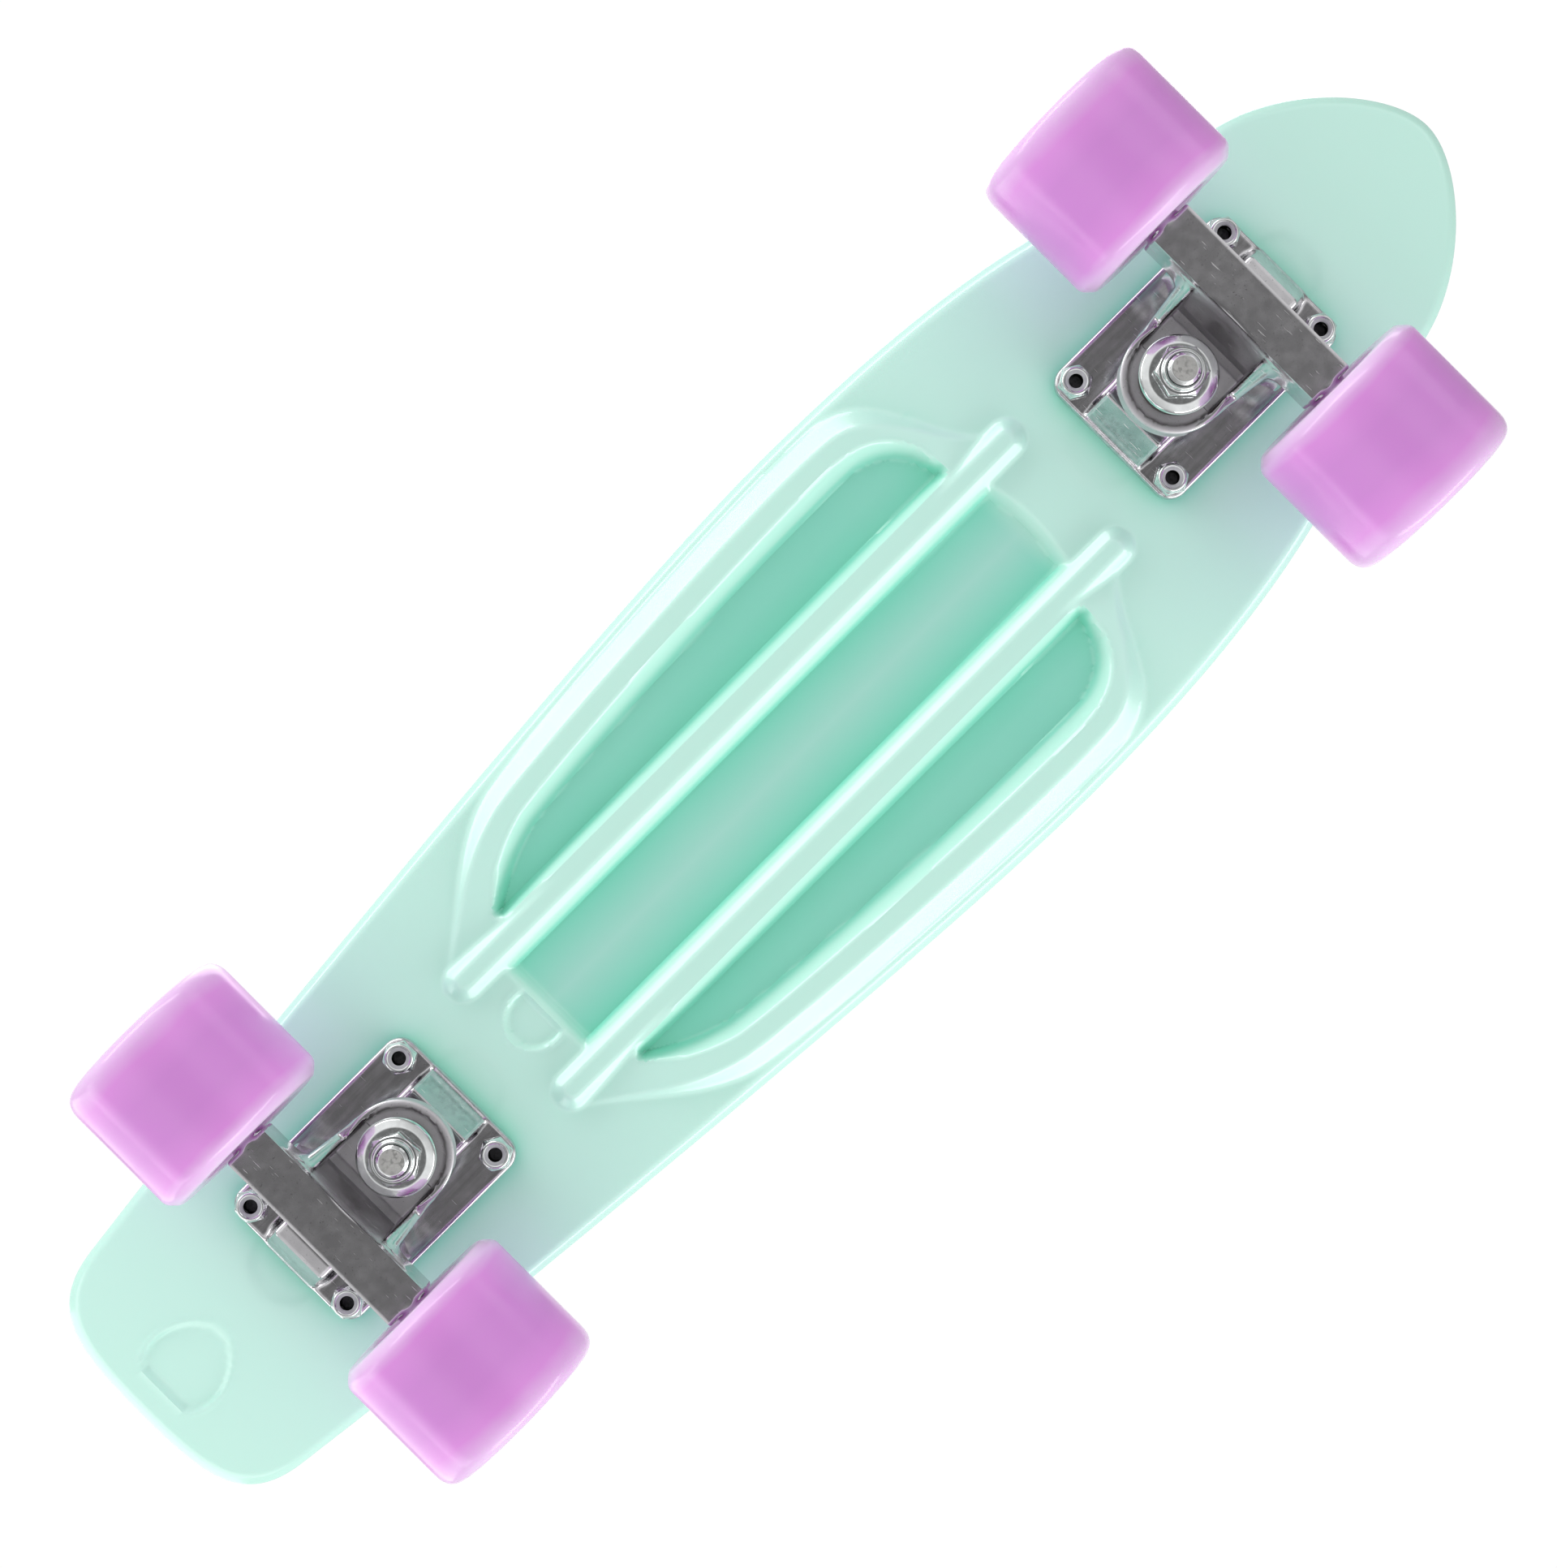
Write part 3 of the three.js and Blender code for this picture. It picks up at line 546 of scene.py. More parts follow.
MINT = mint_plastic()
URETHANE = pink_urethane()
CAST = cast_metal("tumbled_cast_aluminium", (0.69, 0.68, 0.7))
ZINC = plated_steel("zinc_plated_steel", (0.8, 0.82, 0.82), 0.13)
CUT_STEEL = plated_steel("sawn_kingpin_end", (0.62, 0.62, 0.6), 0.5)
# Near-black painted shade on the bolts' tips and threads, which show deep inside the lock nuts' bores.
THREAD_SHADE = plated_steel("painted_thread_shade", (0.07, 0.07, 0.075), 0.5)
AXLE_STEEL = plated_steel("ground_axle_steel", (0.72, 0.73, 0.75), 0.22)
RACE_STEEL = plated_steel("bearing_steel", (0.6, 0.6, 0.62), 0.18)
SHIELD = plated_steel("bearing_shield", (0.45, 0.45, 0.47), 0.35)
BUSHING = plain_plastic("dark_bushing_urethane", (0.03, 0.026, 0.024), (0.07, 0.06, 0.055), 0.5, 200)
NYLON = plain_plastic("nylon", (0.42, 0.43, 0.45), (0.55, 0.56, 0.58), 0.45, 300)
CUP_NYLON = plain_plastic("pivot_cup_nylon", (0.7, 0.7, 0.67), (0.8, 0.8, 0.78), 0.45, 300)


# ---- Deck ----------------------------------------------------------------------------------------

# The left half of the deck's outline, from the middle of the tail to the middle of the nose.
HALF_OUTLINE = path(
    [(-DECK_HALF_LENGTH, 0), (-DECK_HALF_LENGTH, 30), (-282, 44), (-258, 46.5)],
    [(-258, 46.5), (-200, 52), (-10, DECK_HALF_WIDTH), (60, DECK_HALF_WIDTH)],
    [(60, DECK_HALF_WIDTH), (105, DECK_HALF_WIDTH), (140, 68.8), (166, 62.3)],
    [(166, 62.3), (236, 45.1)],
    [(236, 45.1), (262, 38.6), (DECK_HALF_LENGTH, 15), (DECK_HALF_LENGTH, 0)],
    steps=160,
)
OUTLINE_RUN = np.r_[0, np.cumsum(np.hypot(*np.diff(HALF_OUTLINE, axis=0).T))]
TAIL_CORNER = 0.063  # fractions of the half outline where its ends turn into its side
NOSE_CORNER = 0.942
END_FADE = 4  # how fast the round ends fade out of the deck's grid


def on_outline(fraction):
    """Points of the half outline, a fraction of its run from the tail."""
    run = np.asarray(fraction) * OUTLINE_RUN[-1]
    return np.stack([np.interp(run, OUTLINE_RUN, HALF_OUTLINE[:, n]) for n in (0, 1)], -1)


def deck_plan(u, v):
    """A point of the deck in plan: u from tail to nose, v from the right edge to the left."""
    side = on_outline(TAIL_CORNER + u * (NOSE_CORNER - TAIL_CORNER))
    side_tail, side_nose = on_outline(TAIL_CORNER), on_outline(NOSE_CORNER)
    across = np.abs(v)
    tail = on_outline(across * TAIL_CORNER)
    nose = on_outline(1 - across * (1 - NOSE_CORNER))
    to_tail, to_nose = (1 - u) ** END_FADE, u**END_FADE
    x = side[..., 0] + to_tail * (tail[..., 0] - side_tail[0]) + to_nose * (nose[..., 0] - side_nose[0])
    half_way = 34  # the grid's lines run straight as far as this from the middle
    beyond = half_way + (2 * across - 1) * (side[..., 1] - half_way)
    straight = np.where(across < 0.5, 2 * half_way * across, beyond)
    keep = ease((250 - np.abs(side[..., 0])) / 60)
    y = np.sign(v) * (across * side[..., 1] * (1 - keep) + straight * keep)
    y += to_tail * (np.sign(v) * tail[..., 1] - v * side_tail[1])
    y += to_nose * (np.sign(v) * nose[..., 1] - v * side_nose[1])
    return x, y


def riding_surface(x, y):
    """Height of the deck's top: flat between the trucks, kicked up at both ends, edges raised."""
    slope = np.where(x < 0, TAIL_SLOPE, NOSE_SLOPE)
    past = np.maximum(0, np.abs(x) - KICK_START)
    rise = np.where(past < KICK_BEND, slope * past**2 / (2 * KICK_BEND), slope * (past - KICK_BEND / 2))
    side = np.maximum(0, np.abs(y) - CONCAVE_START) / (DECK_HALF_WIDTH - CONCAVE_START)
    return DECK_TOP + rise + CONCAVE_RISE * side**2


# Plan views of the left outer rib's crest, the left pocket's floor and the recess in the tail.
OUTER_RIB = path(
    [(-119, 24), (-119, 27.5)],
    [(-119, 27.5), (-104, 36), (-88, 52), (-66, 53.9)],
    [(-66, 53.9), (-40, 57), (40, 62.5), (76, 61)],
    [(76, 61), (92, 60.5), (95, 52), (101, 45.5)],
    [(101, 45.5), (105, 39), (110, 31), (117, 27.5)],
    [(117, 27.5), (117, 24)],
)
SIDE_POCKET = path(
    [(-92, 30.9), (97, 30.9)],
    [(97, 30.9), (94, 38), (93, 49.7), (72, 49.8)],
    [(72, 49.8), (30, 49.9), (-40, 46), (-66, 42.4)],
    [(-66, 42.4), (-80, 39), (-92, 30.9)],
)
TAIL_RECESS = path(
    [(-272, -8.5), (-272, 8.5)],
    [(-272, 8.5), (-269, 13.5), (-261, 12.5)],
    [(-261, 12.5), (-252, 11), (-245.5, 5), (-245.5, 0)],
    [(-245.5, 0), (-245.5, -5), (-252, -11), (-261, -12.5)],
    [(-261, -12.5), (-269, -13.5), (-272, -8.5)],
)


def underside(x, y):
    """Height of the deck's lower face, with its ribs, pockets and shallow recesses."""
    y = np.abs(y)
    face = riding_surface(x, y) - DECK_THICKNESS
    from_middle = np.abs(x - RIB_MIDDLE_X)
    from_rib = np.hypot(np.maximum(from_middle - RIB_HALF_LENGTH, 0), y - RIB_MIDDLE_Y)
    fall = RIB_SLOPE * np.maximum(from_rib - RIB_CREST_HALF, 0)
    straight = RIB_FACE + 0.3 * ease((from_middle - 85) / 30) + fall + 0.03 * from_rib**2
    fade = ease((x + 122) / 60) * ease((120 - x) / 36)
    crest = DECK_UNDERSIDE - (DECK_UNDERSIDE - RIB_FACE) * fade
    outer = crest + OUTER_SLOPE * np.maximum(outline_distance(OUTER_RIB, x, y), 0)
    face = lower_of(face, outer, 0.7)
    face = lower_of(face, straight, 0.7)
    face = higher_of(face, RIB_FACE, 0.8)
    side_wall = np.interp(y, (33, 40), (INNER_WALL, OUTER_WALL))
    side_pocket = POCKET_FLOOR - side_wall * np.maximum(outline_distance(SIDE_POCKET, x, y), 0)
    past_end = np.maximum(CENTRE_TAIL - x, x - CENTRE_NOSE + 2 * (y / CENTRE_HALF_WIDTH) ** 2)
    centre_wall = higher_of(INNER_WALL * (y - CENTRE_HALF_WIDTH), END_WALL * past_end, 1.5)
    centre = POCKET_FLOOR - np.maximum(centre_wall, 0)
    face = higher_of(face, side_pocket, 0.9)
    face = higher_of(face, centre, 0.9)
    kicked = np.abs(x) > 130
    face = np.where(kicked, face, np.minimum(face, POCKET_FLOOR))
    # Two shallow recesses with low lips: one in the tail, one at the centre pocket's tail end.
    recess = outline_distance(TAIL_RECESS, x, y)
    face = face + 0.9 * ease((0.9 - recess) / 1.4) - 0.4 * ease(1 - np.abs(recess - 1.6) / 1.4)
    tab = np.hypot(np.minimum(x + 109, 0), y) - 9.0
    tab_side = ease((-104.5 - x) / 1.5)
    face = face + tab_side * (1.0 * ease(-tab / 1.3) - 0.4 * ease(1 - np.abs(tab - 0.7) / 1.3))
    # Faint half-round dips beyond both ends of each truck's plate.
    for end in (1, -1):
        for middle, way in ((139, -1), (214, 1)):
            reach = way * (end * x - middle)
            dip = np.hypot(reach / 13, y / 13) - 1
            face = face + 0.35 * ease(-dip / 0.14) * (reach > -2)
    return face


def columns():
    """Where the deck's cross lines lie: close together where its ribs turn."""
    end = DECK_HALF_LENGTH
    spans = [(-end, -130, 2.3), (-130, -58, 1.2), (-58, 62, 4), (62, 130, 1.2), (130, end, 2.3)]
    lines = [np.linspace(a, b, round((b - a) / step) + 1)[:-1] for a, b, step in spans]
    lines = np.concatenate(lines + [[end]])
    return lines if len(lines) % 2 else np.delete(lines, len(lines) // 2)


def deck_mesh():
    """A grid for each face, the top's half as dense, and loops round the edge that join them."""
    half_rows = 80
    v = np.linspace(-1, 1, 2 * half_rows + 1)
    dense = np.linspace(0, 1, 2000)
    u = np.interp(columns(), deck_plan(dense, 0 * dense)[0], dense)
    u[0], u[-1] = 0, 1
    plan_x, plan_y = deck_plan(*np.meshgrid(u, v, indexing="ij"))
    rows, lines = len(v), len(u)

    def layer(inset, below):
        x = plan_x * (1 - inset / DECK_HALF_LENGTH)
        y = plan_y * (1 - inset / DECK_HALF_WIDTH)
        height = underside(x, y) if below is None else riding_surface(x, y) - below
        return np.stack([x, y, height], -1).reshape(-1, 3)

    grid = np.arange(lines * rows).reshape(lines, rows)
    rim = np.concatenate([grid[:, 0], grid[-1, 1:], grid[-2::-1, -1], grid[0, -2:0:-1]])
    arc = np.linspace(math.pi / 2, 0, 5)
    upper = [(EDGE_RADIUS * (1 - math.cos(a)), EDGE_RADIUS * (1 - math.sin(a))) for a in arc]
    lower = bezier([(0, 4.9), (0, 5.8), (0.5, 6.2)], 4).tolist()
    lower += bezier([(1.9, 7.25), (2.8, 7.95), (LOWER_INSET, DECK_THICKNESS)], 6).tolist()
    sides = upper[1:] + lower[:-1]
    bottom = layer(LOWER_INSET, None)
    top = layer(EDGE_RADIUS, 0)
    points = [bottom, top]
    count = 2 * len(bottom)
    loops = [rim + len(bottom)]
    for inset, below in sides:
        points.append(layer(inset, below)[rim])
        loops.append(np.arange(count, count + len(rim)))
        count += len(rim)
    loops.append(rim)
    points = np.concatenate(points)
    a, b, c, d = grid[:-1, :-1], grid[:-1, 1:], grid[1:, 1:], grid[1:, :-1]
    faces = np.stack([a, b, c, d], -1).reshape(-1, 4).tolist()
    for over, under in zip(loops, loops[1:]):
        faces += np.stack([over, under, np.roll(under, -1), np.roll(over, -1)], 1).tolist()
    last_line, last_row = lines - 1, rows - 1
    shift = len(bottom)
    for i in range(0, last_line, 2):
        for j in range(0, last_row, 2):
            ring = [(i, j), (i + 1, j), (i + 2, j), (i + 2, j + 1), (i + 2, j + 2)]
            ring += [(i + 1, j + 2), (i, j + 2), (i, j + 1)]
            needed = [True, j == 0, True, i + 2 == last_line, True, j + 2 == last_row, True, i == 0]
            faces.append([int(grid[p]) + shift for p, keep in zip(ring, needed) if keep])
    used = np.unique(np.concatenate([np.ravel(face) for face in faces]))
    renumber = np.full(len(points), -1)
    renumber[used] = np.arange(len(used))
    faces = [[int(renumber[n]) for n in face] for face in faces]
    return points[used], faces


def placed(points, end):
    """Moves points from a truck's own frame to the front or rear of the board."""
    turn = 1 if end == "front" else -1
    return np.asarray(points) * (turn, turn, 1) + (turn * PATTERN_X, 0, 0)


def cut_bolt_holes(deck):
    """Opens the countersunk bolt holes in the deck."""
    hole, head = BOLT_RADIUS + GAP, BOLT_HEAD_RADIUS + GAP
    bore = [(0, 70), (hole, 70), (hole, DECK_TOP - 3.4), (head, DECK_TOP - 0.9), (head, 90), (0, 90)]
    points, faces, _ = turned(bore, 32)
    all_points, all_faces = [], []
    for end in ENDS:
        for x, y in BOLT_PLACES:
            start = sum(len(run) for run in all_points)
            all_points.append(placed(points + (x, y, 0), end))
            all_faces += [tuple(n + start for n in face) for face in faces]
    mesh = bpy.data.meshes.new("bolt_hole_tool")
    mesh.from_pydata((np.concatenate(all_points) * MM).tolist(), [], all_faces)
    tool = in_scene("bolt_hole_tool", mesh)
    cut = deck.modifiers.new("bolt_holes", "BOOLEAN")
    cut.operation = "DIFFERENCE"
    cut.solver = "MANIFOLD"
    cut.object = tool
    bpy.context.view_layer.update()
    result = bpy.data.meshes.new_from_object(deck.evaluated_get(bpy.context.evaluated_depsgraph_get()))
    deck.modifiers.clear()
    deck.data = result
    result.set_sharp_from_angle(angle=math.radians(32))
    bpy.data.objects.remove(tool)


def add_deck():
    points, faces = deck_mesh()
    faces = outward(points, faces)
    deck = piece("deck_moulding", points, faces, "board", ["deck"], [MINT])
    cut_bolt_holes(deck)


def add_waffle():
    """Low crossed bars moulded on the riding surface, which give the feet grip."""
    pitch, height, foot, crest = 11.0, 0.8, 1.1, 0.45
    edge_clearance, bolt_clearance, border_inset = 10, 9, 9
    border = np.concatenate([HALF_OUTLINE, HALF_OUTLINE[::-1] * (1, -1)])[::8]
    points, faces = [], []
    bolts = np.array([placed((x, y, 0), end)[:2] for end in ENDS for x, y in BOLT_PLACES])

    def bar(run, across, closed=False):
        start = sum(len(rows) for rows in points)
        height_there = riding_surface(run[:, 0], run[:, 1])
        for offset, lift in ((-foot, -0.3), (-crest, height), (crest, height), (foot, -0.3)):
            side = run + across * offset
            points.append(np.column_stack([side, height_there + lift]))
        n = len(run)
        last = n if closed else n - 1
        for k in range(4):
            a, b = start + k * n, start + (k + 1) % 4 * n
            faces.extend((a + i, b + i, b + (i + 1) % n, a + (i + 1) % n) for i in range(last))
        if not closed:
            ends = [start + k * n for k in range(4)]
            faces.append(tuple(ends[::-1]))
            faces.append(tuple(e + n - 1 for e in ends))

    for lean in (1, -1):
        direction = np.array([1, lean]) / math.sqrt(2)
        across = np.array([-lean, 1]) / math.sqrt(2)
        for k in range(-34, 35):
            t = np.arange(-420, 421, 4.0)
            line = across * (k * pitch) + t[:, None] * direction
            inside = outline_distance(border, line[:, 0], line[:, 1]) < -edge_clearance
            to_bolts = np.hypot(*(line[:, None] - bolts[None]).transpose(2, 0, 1))
            clear = np.min(to_bolts, 1) > bolt_clearance
            runs = np.flatnonzero(np.diff(np.r_[0, inside & clear, 0]))
            for a, b in zip(runs[::2], runs[1::2]):
                if b - a > 2:
                    bar(line[a:b], across)
    loop = on_outline(np.linspace(0, 1, 160))
    loop = np.concatenate([loop, (loop * (1, -1))[-2:0:-1]])
    heading = np.roll(loop, -1, 0) - np.roll(loop, 1, 0)
    heading /= np.hypot(*heading.T)[:, None]
    inward = np.column_stack([heading[:, 1], -heading[:, 0]])
    bar(loop + inward * border_inset, inward, closed=True)
    points = np.concatenate(points)
    piece("deck_grip_bars", points, faces, "board", [], [MINT])


# ---- Trucks: everything is made in the truck's own frame, with X away from the board's middle ---------

# Side views are corners in X and Z, plans are in X and Y.
YOKE_SIDE = [(-13, 54), (-2, 54), (9, 59.5), (15, 50), (19, 40), (19, 34), (5, 28), (-6, 46), (-13, 47.5)]
YOKE_PLAN = path([(-13.5, -16.3), (3, -18.8)], [(3, -18.8), (5, -19.5), (6, -24)],
                 [(6, -24), (20, -24)], [(20, -24), (20, 24)], [(20, 24), (6, 24)],
                 [(6, 24), (5, 19.5), (3, 18.8)], [(3, 18.8), (-13.5, 16.3)], steps=8)
HOLLOW_PLAN = path([(-14, -14.2), (3.9, -14.2)], [(3.9, -14.2), (6.3, 0), (3.9, 14.2)],
                   [(3.9, 14.2), (-14, 14.2)], steps=12)
HOLLOW_SIDE = [(-20, 10), (8, 10), (8, 24), (2.3, 45), (2.3, 53), (-1, 53), (-1, 49), (-20, 49)]
HOUSING = [(5.1, 24), (19.5, 24), (19.4, 38), (17.4, 40.5), (5.2, 40.5), (4.4, 38)]
GUSSET = [(0, 54), (9, 60.5), (13.5, 59), (18, 44), (6, 40)]
PIVOT_HOUSING = [(13, 74), (15, 66), (19, 59.5), (26, 58.4), (30.6, 58.9), (37.2, 73.2), (37.2, 74)]
RAMP = [(-37.2, 76), (-37.2, 73.2), (-29.1, 61.8), (-27.4, 61.8), (-27, 68), (-20, 70), (-20, 76)]


def along_steering(x, z):
    """Distances along and off the steering axis, in the plane of X and Z, from the pivot."""
    dx, dz = x - PIVOT_X, z - PIVOT_HEIGHT
    return dx * STEER_X + dz * STEER_Z, dz * STEER_X - dx * STEER_Z


def hanger_field(x, y, z):
    """Ring, arms, axle housing and the ball's stem, less the hollow and the bores."""
    y = np.abs(y)
    from_kingpin = np.hypot(x - KINGPIN_X, y)
    from_axle = np.hypot(x - AXLE_X, z - AXLE_HEIGHT)
    along, off = along_steering(x, z)
    from_steering = np.hypot(off, y)
    ring = between(from_kingpin - RING_RADIUS, RING_DOWN - 2, RING_UP, z, 0.9)
    yoke = higher_of(outline_distance(YOKE_SIDE, x, z), outline_distance(YOKE_PLAN, x, y), 2.0)
    housing = between(outline_distance(HOUSING, x, z), -HOUSING_END, HOUSING_END, y, 0.9)
    nose = between(from_axle - NOSE_RADIUS, 32.9, NOSE_END, y, 0.6)
    gusset = between(outline_distance(GUSSET, x, z), -6, 6, y, 1.5)
    stem = between(from_steering - np.interp(along, (-14, -5), (6.5, 4.6)), -24, 0, along, 1.5)
    ball = np.sqrt(along**2 + from_steering**2) - PIVOT_BALL
    solid = lower_of(ring, yoke, 2.0)
    solid = lower_of(solid, lower_of(gusset, stem, 4.0), 4.0)
    solid = lower_of(solid, ball, 1.0)
    hollow = higher_of(outline_distance(HOLLOW_PLAN, x, y), outline_distance(HOLLOW_SIDE, x, z), 0.8)
    lip = between(from_kingpin - 14, 40, RING_DOWN, z, 0.4)
    bore = from_kingpin - KINGPIN_RADIUS - 1.7
    solid = lower_of(solid, lower_of(housing, nose, 1.0), 2.0)
    for tool, soft in ((hollow, 0.9), (lip, 0.5), (bore, 0.8), (from_axle - AXLE_RADIUS - GAP, 0.5)):
        solid = carved(solid, tool, soft)
    return solid


def baseplate_field(x, y, z):
    """Flange, ridge, ramp, kingpin boss and pivot housing, less the cup's seat and the bores."""
    y = np.abs(y)
    from_kingpin = np.hypot(x - KINGPIN_X, y)
    along, off = along_steering(x, z)
    flange = both(np.abs(x) - PLATE_HALF_LENGTH, y - PLATE_HALF_WIDTH, 6)
    flange = between(flange, PLATE_FACE, PLATE_TOP, z, 1.3)
    ridge = between(both(np.abs(x) - 34.5, y - 11.5, 3), 69.5, 77, z, 1.5)
    ramp = between(outline_distance(RAMP, x, z), -11.5, 11.5, y, 1.0)
    boss = between(from_kingpin - 13.5, BOSS_FACE, 77, z, 0.8)
    pivot = between(outline_distance(PIVOT_HOUSING, x, z), -10.5, 10.5, y, 2.0)
    solid = flange
    for part, soft in ((ridge, 1.6), (ramp, 1.2), (boss, 1.5), (pivot, 1.8)):
        solid = lower_of(solid, part, soft)
    socket = between(np.hypot(off, y) - PIVOT_CUP_RADIUS - GAP, -18, PIVOT_CUP_TOP + GAP, along, 0.5)
    head_recess = between(from_kingpin - 8.7, KINGPIN_HEAD - GAP, 90, z, 0.3)
    holes = np.hypot(np.abs(x) - BOLT_X, y - BOLT_Y) - BOLT_RADIUS - GAP
    bore = from_kingpin - KINGPIN_BORE
    for tool, soft in ((socket, 1.0), (bore, 0.6), (head_recess, 0.4), (holes, 0.5)):
        solid = carved(solid, tool, soft)
    return solid


def thread(radius, start, end, pitch=1.0, depth=0.45):
    """Profile points of a screw thread's grooves, from start to end."""
    heading = math.copysign(pitch, end - start)
    groove = [(radius, 0), (radius, 0.2), (radius - depth, 0.6)]
    return [(r, start + heading * (k + h)) for k in range(int(abs(end - start) / pitch)) for r, h in groove]


def hex_side(flats, start, end, chamfer=1.1):
    """Profile points of a hexagon's outside, with both ends turned down in a cone."""
    corner = flats / math.sqrt(3) + 0.02
    flat = flats / 2 * 0.97
    heading = math.copysign(chamfer, end - start)
    cone = [(flat + (corner - flat) * t, heading * t) for t in np.linspace(0, 1, 6)]
    return [(r, start + h) for r, h in cone] + [(r, end - h) for r, h in cone[::-1]]


def lock_nut(flats, bore, faces, collar, tight=0.0):
    """A self-locking nut: faces are its hexagon's two ends and the end of its round collar."""
    start, hex_end, end = faces
    down = math.copysign(1, end - start)
    nylon = collar - 1.1
    profile = [(bore, start + 0.4 * down), (bore + 0.4, start)]
    profile += hex_side(flats, start, hex_end)
    profile += [(collar + 0.25, hex_end, 0.2), (collar, hex_end + 0.35 * down, 0.2)]
    profile += [(collar, end - 0.3 * down, 0.6), (nylon + 0.4, end, 0.3), (nylon, end - 0.25 * down)]
    first_nylon = len(profile) - 1
    profile += [(bore - tight + 0.35, end - 0.35 * down, 0.2), (bore - tight, end - 0.8 * down)]
    last_nylon = len(profile) - 1
    profile += [(bore - tight, end - 1.5 * down), (bore, end - 1.6 * down)]
    points, mesh_faces, owners = turned(profile, 72, flats=flats, closed=True)
    which = [1 if first_nylon <= owner < last_nylon else 0 for owner in owners]
    return points, mesh_faces, which


def deck_bolt():
    """A countersunk bolt, and which of its faces are its tip and thread, which get a painted dark shade."""
    tip, thread_end, socket = 71.4, 75.5, 1.6
    screw = thread(BOLT_RADIUS, tip + 0.5, thread_end, 0.8, 0.35)
    profile = [(0, tip), (BOLT_RADIUS - 0.5, tip)] + screw
    profile += [(BOLT_RADIUS, 75.6), (BOLT_RADIUS, 82.5, 0.3), (BOLT_HEAD_RADIUS, 85, 0.2)]
    profile += [(BOLT_HEAD_RADIUS, 85.7, 0.25), (2.0, 85.7, 0.1), (socket, 85.5), (socket, 83.4), (0, 83.2)]
    points, faces, owners = turned(profile, 48, socket=socket)
    return points, faces, [1 if owner < len(screw) else 0 for owner in owners]


def kingpin():
    """The kingpin, and which of its faces are its sawn end."""
    tip, head_top = 25, 77.3
    profile = [(0, tip), (KINGPIN_RADIUS - 0.9, tip, 0.2)] + thread(KINGPIN_RADIUS, tip + 0.8, 40)
    profile += [(KINGPIN_RADIUS, 40.2), (KINGPIN_RADIUS, KINGPIN_HEAD)]
    profile += hex_side(KINGPIN_FLATS, KINGPIN_HEAD, head_top) + [(0, head_top)]
    points, faces, owners = turned(profile, 72, flats=KINGPIN_FLATS)
    return points, faces, [1 if owner == 0 else 0 for owner in owners]


def bushing(at_washer, at_ring, washer_radius, ring_radius):
    """A barrel-shaped bushing, from its end at the washer to its end at the hanger's ring."""
    low, high = sorted([(at_washer, washer_radius), (at_ring, ring_radius)])
    waist = (washer_radius + ring_radius) / 2 + 0.35
    profile = [(KINGPIN_BORE, low[0]), (low[1], low[0], 1.0), (waist, (low[0] + high[0]) / 2, 2.0)]
    profile += [(high[1], high[0], 1.0), (KINGPIN_BORE, high[0])]
    return turned(profile, 72, closed=True)


def cup_washer(seat, rim):
    """A dished washer: rim is 1 when its edge turns up, and -1 when it turns down."""
    shape = [(KINGPIN_BORE, 0, 0), (9.1, 0, 0.5), (11.3, 1.1, 0.4), (12.0, 2.3, 0.4), (11.3, 2.5, 0.2)]
    shape += [(8.8, 1.6, 0.5), (KINGPIN_BORE, 1.6, 0)]
    return turned([(r, seat + rim * h, soft) for r, h, soft in shape], 96, closed=True)


def about_axle(made, end, side):
    """Turns a solid made about Z so that its Z lies along the axle, out to one side of the board."""
    points = made[0]
    outwards = 1 if side == "left" else -1
    forwards = 1 if end == "front" else -1
    laid = np.column_stack([-outwards * points[:, 0], outwards * points[:, 2], points[:, 1]])
    return laid + (forwards * TRACK_AXLE_X, 0, AXLE_HEIGHT)


# Radius, distance from the board's middle and softness of the wheel's corners.
WHEEL_PROFILE = [(11.3, 44.2, 0.2), (13.6, 39.6, 2.0), (17, 34.3, 1.6), (22, WHEEL_INNER_FACE, 1.0)]
WHEEL_PROFILE += [(26.6, WHEEL_INNER_FACE, 1.2), (30, 37.3, 1.6), (30, WHEEL_OUTER_FACE, 6.5)]
WHEEL_PROFILE += [(18.5, WHEEL_OUTER_FACE, 1.6), (14.5, 73.2, 2.0), (11.3, 68, 0.4), (11.3, 60.7)]
WHEEL_PROFILE += [(9.8, 60.7), (9.8, 51.3), (11.3, 51.3)]


def bearing(face):
    """A bearing that starts at face: two races, with a shield between them on both sides."""
    shape = [(6.2, 0, 0.2), (7.3, 0, 0.1), (7.4, 0.5, 0), (9.3, 0.5, 0), (9.4, 0, 0.1), (11, 0, 0.4)]
    shape += [(11, 7, 0.4), (9.4, 7, 0.1), (9.3, 6.5, 0), (7.4, 6.5, 0), (7.3, 7, 0.1), (6.2, 7, 0.2)]
    points, faces, owners = turned([(r, face + h, soft) for r, h, soft in shape], 72, closed=True)
    shields = (2, 8)  # the corners of the profile where a shield starts
    return points, faces, [1 if owner in shields else 0 for owner in owners]


def axle_sleeve():
    """Washer, inner race, spacer, inner race and washer, as the axle nut clamps them."""
    bore, washer, race = AXLE_RADIUS + GAP, 7.6, 5.9
    profile = [(bore, 42.8), (washer, 42.8, 0.2), (washer, 43.7, 0.2), (race, 43.7), (race, 68.3)]
    profile += [(washer, 68.3, 0.2), (washer, 69.2, 0.2), (bore, 69.2)]
    return turned(profile, 72, closed=True)


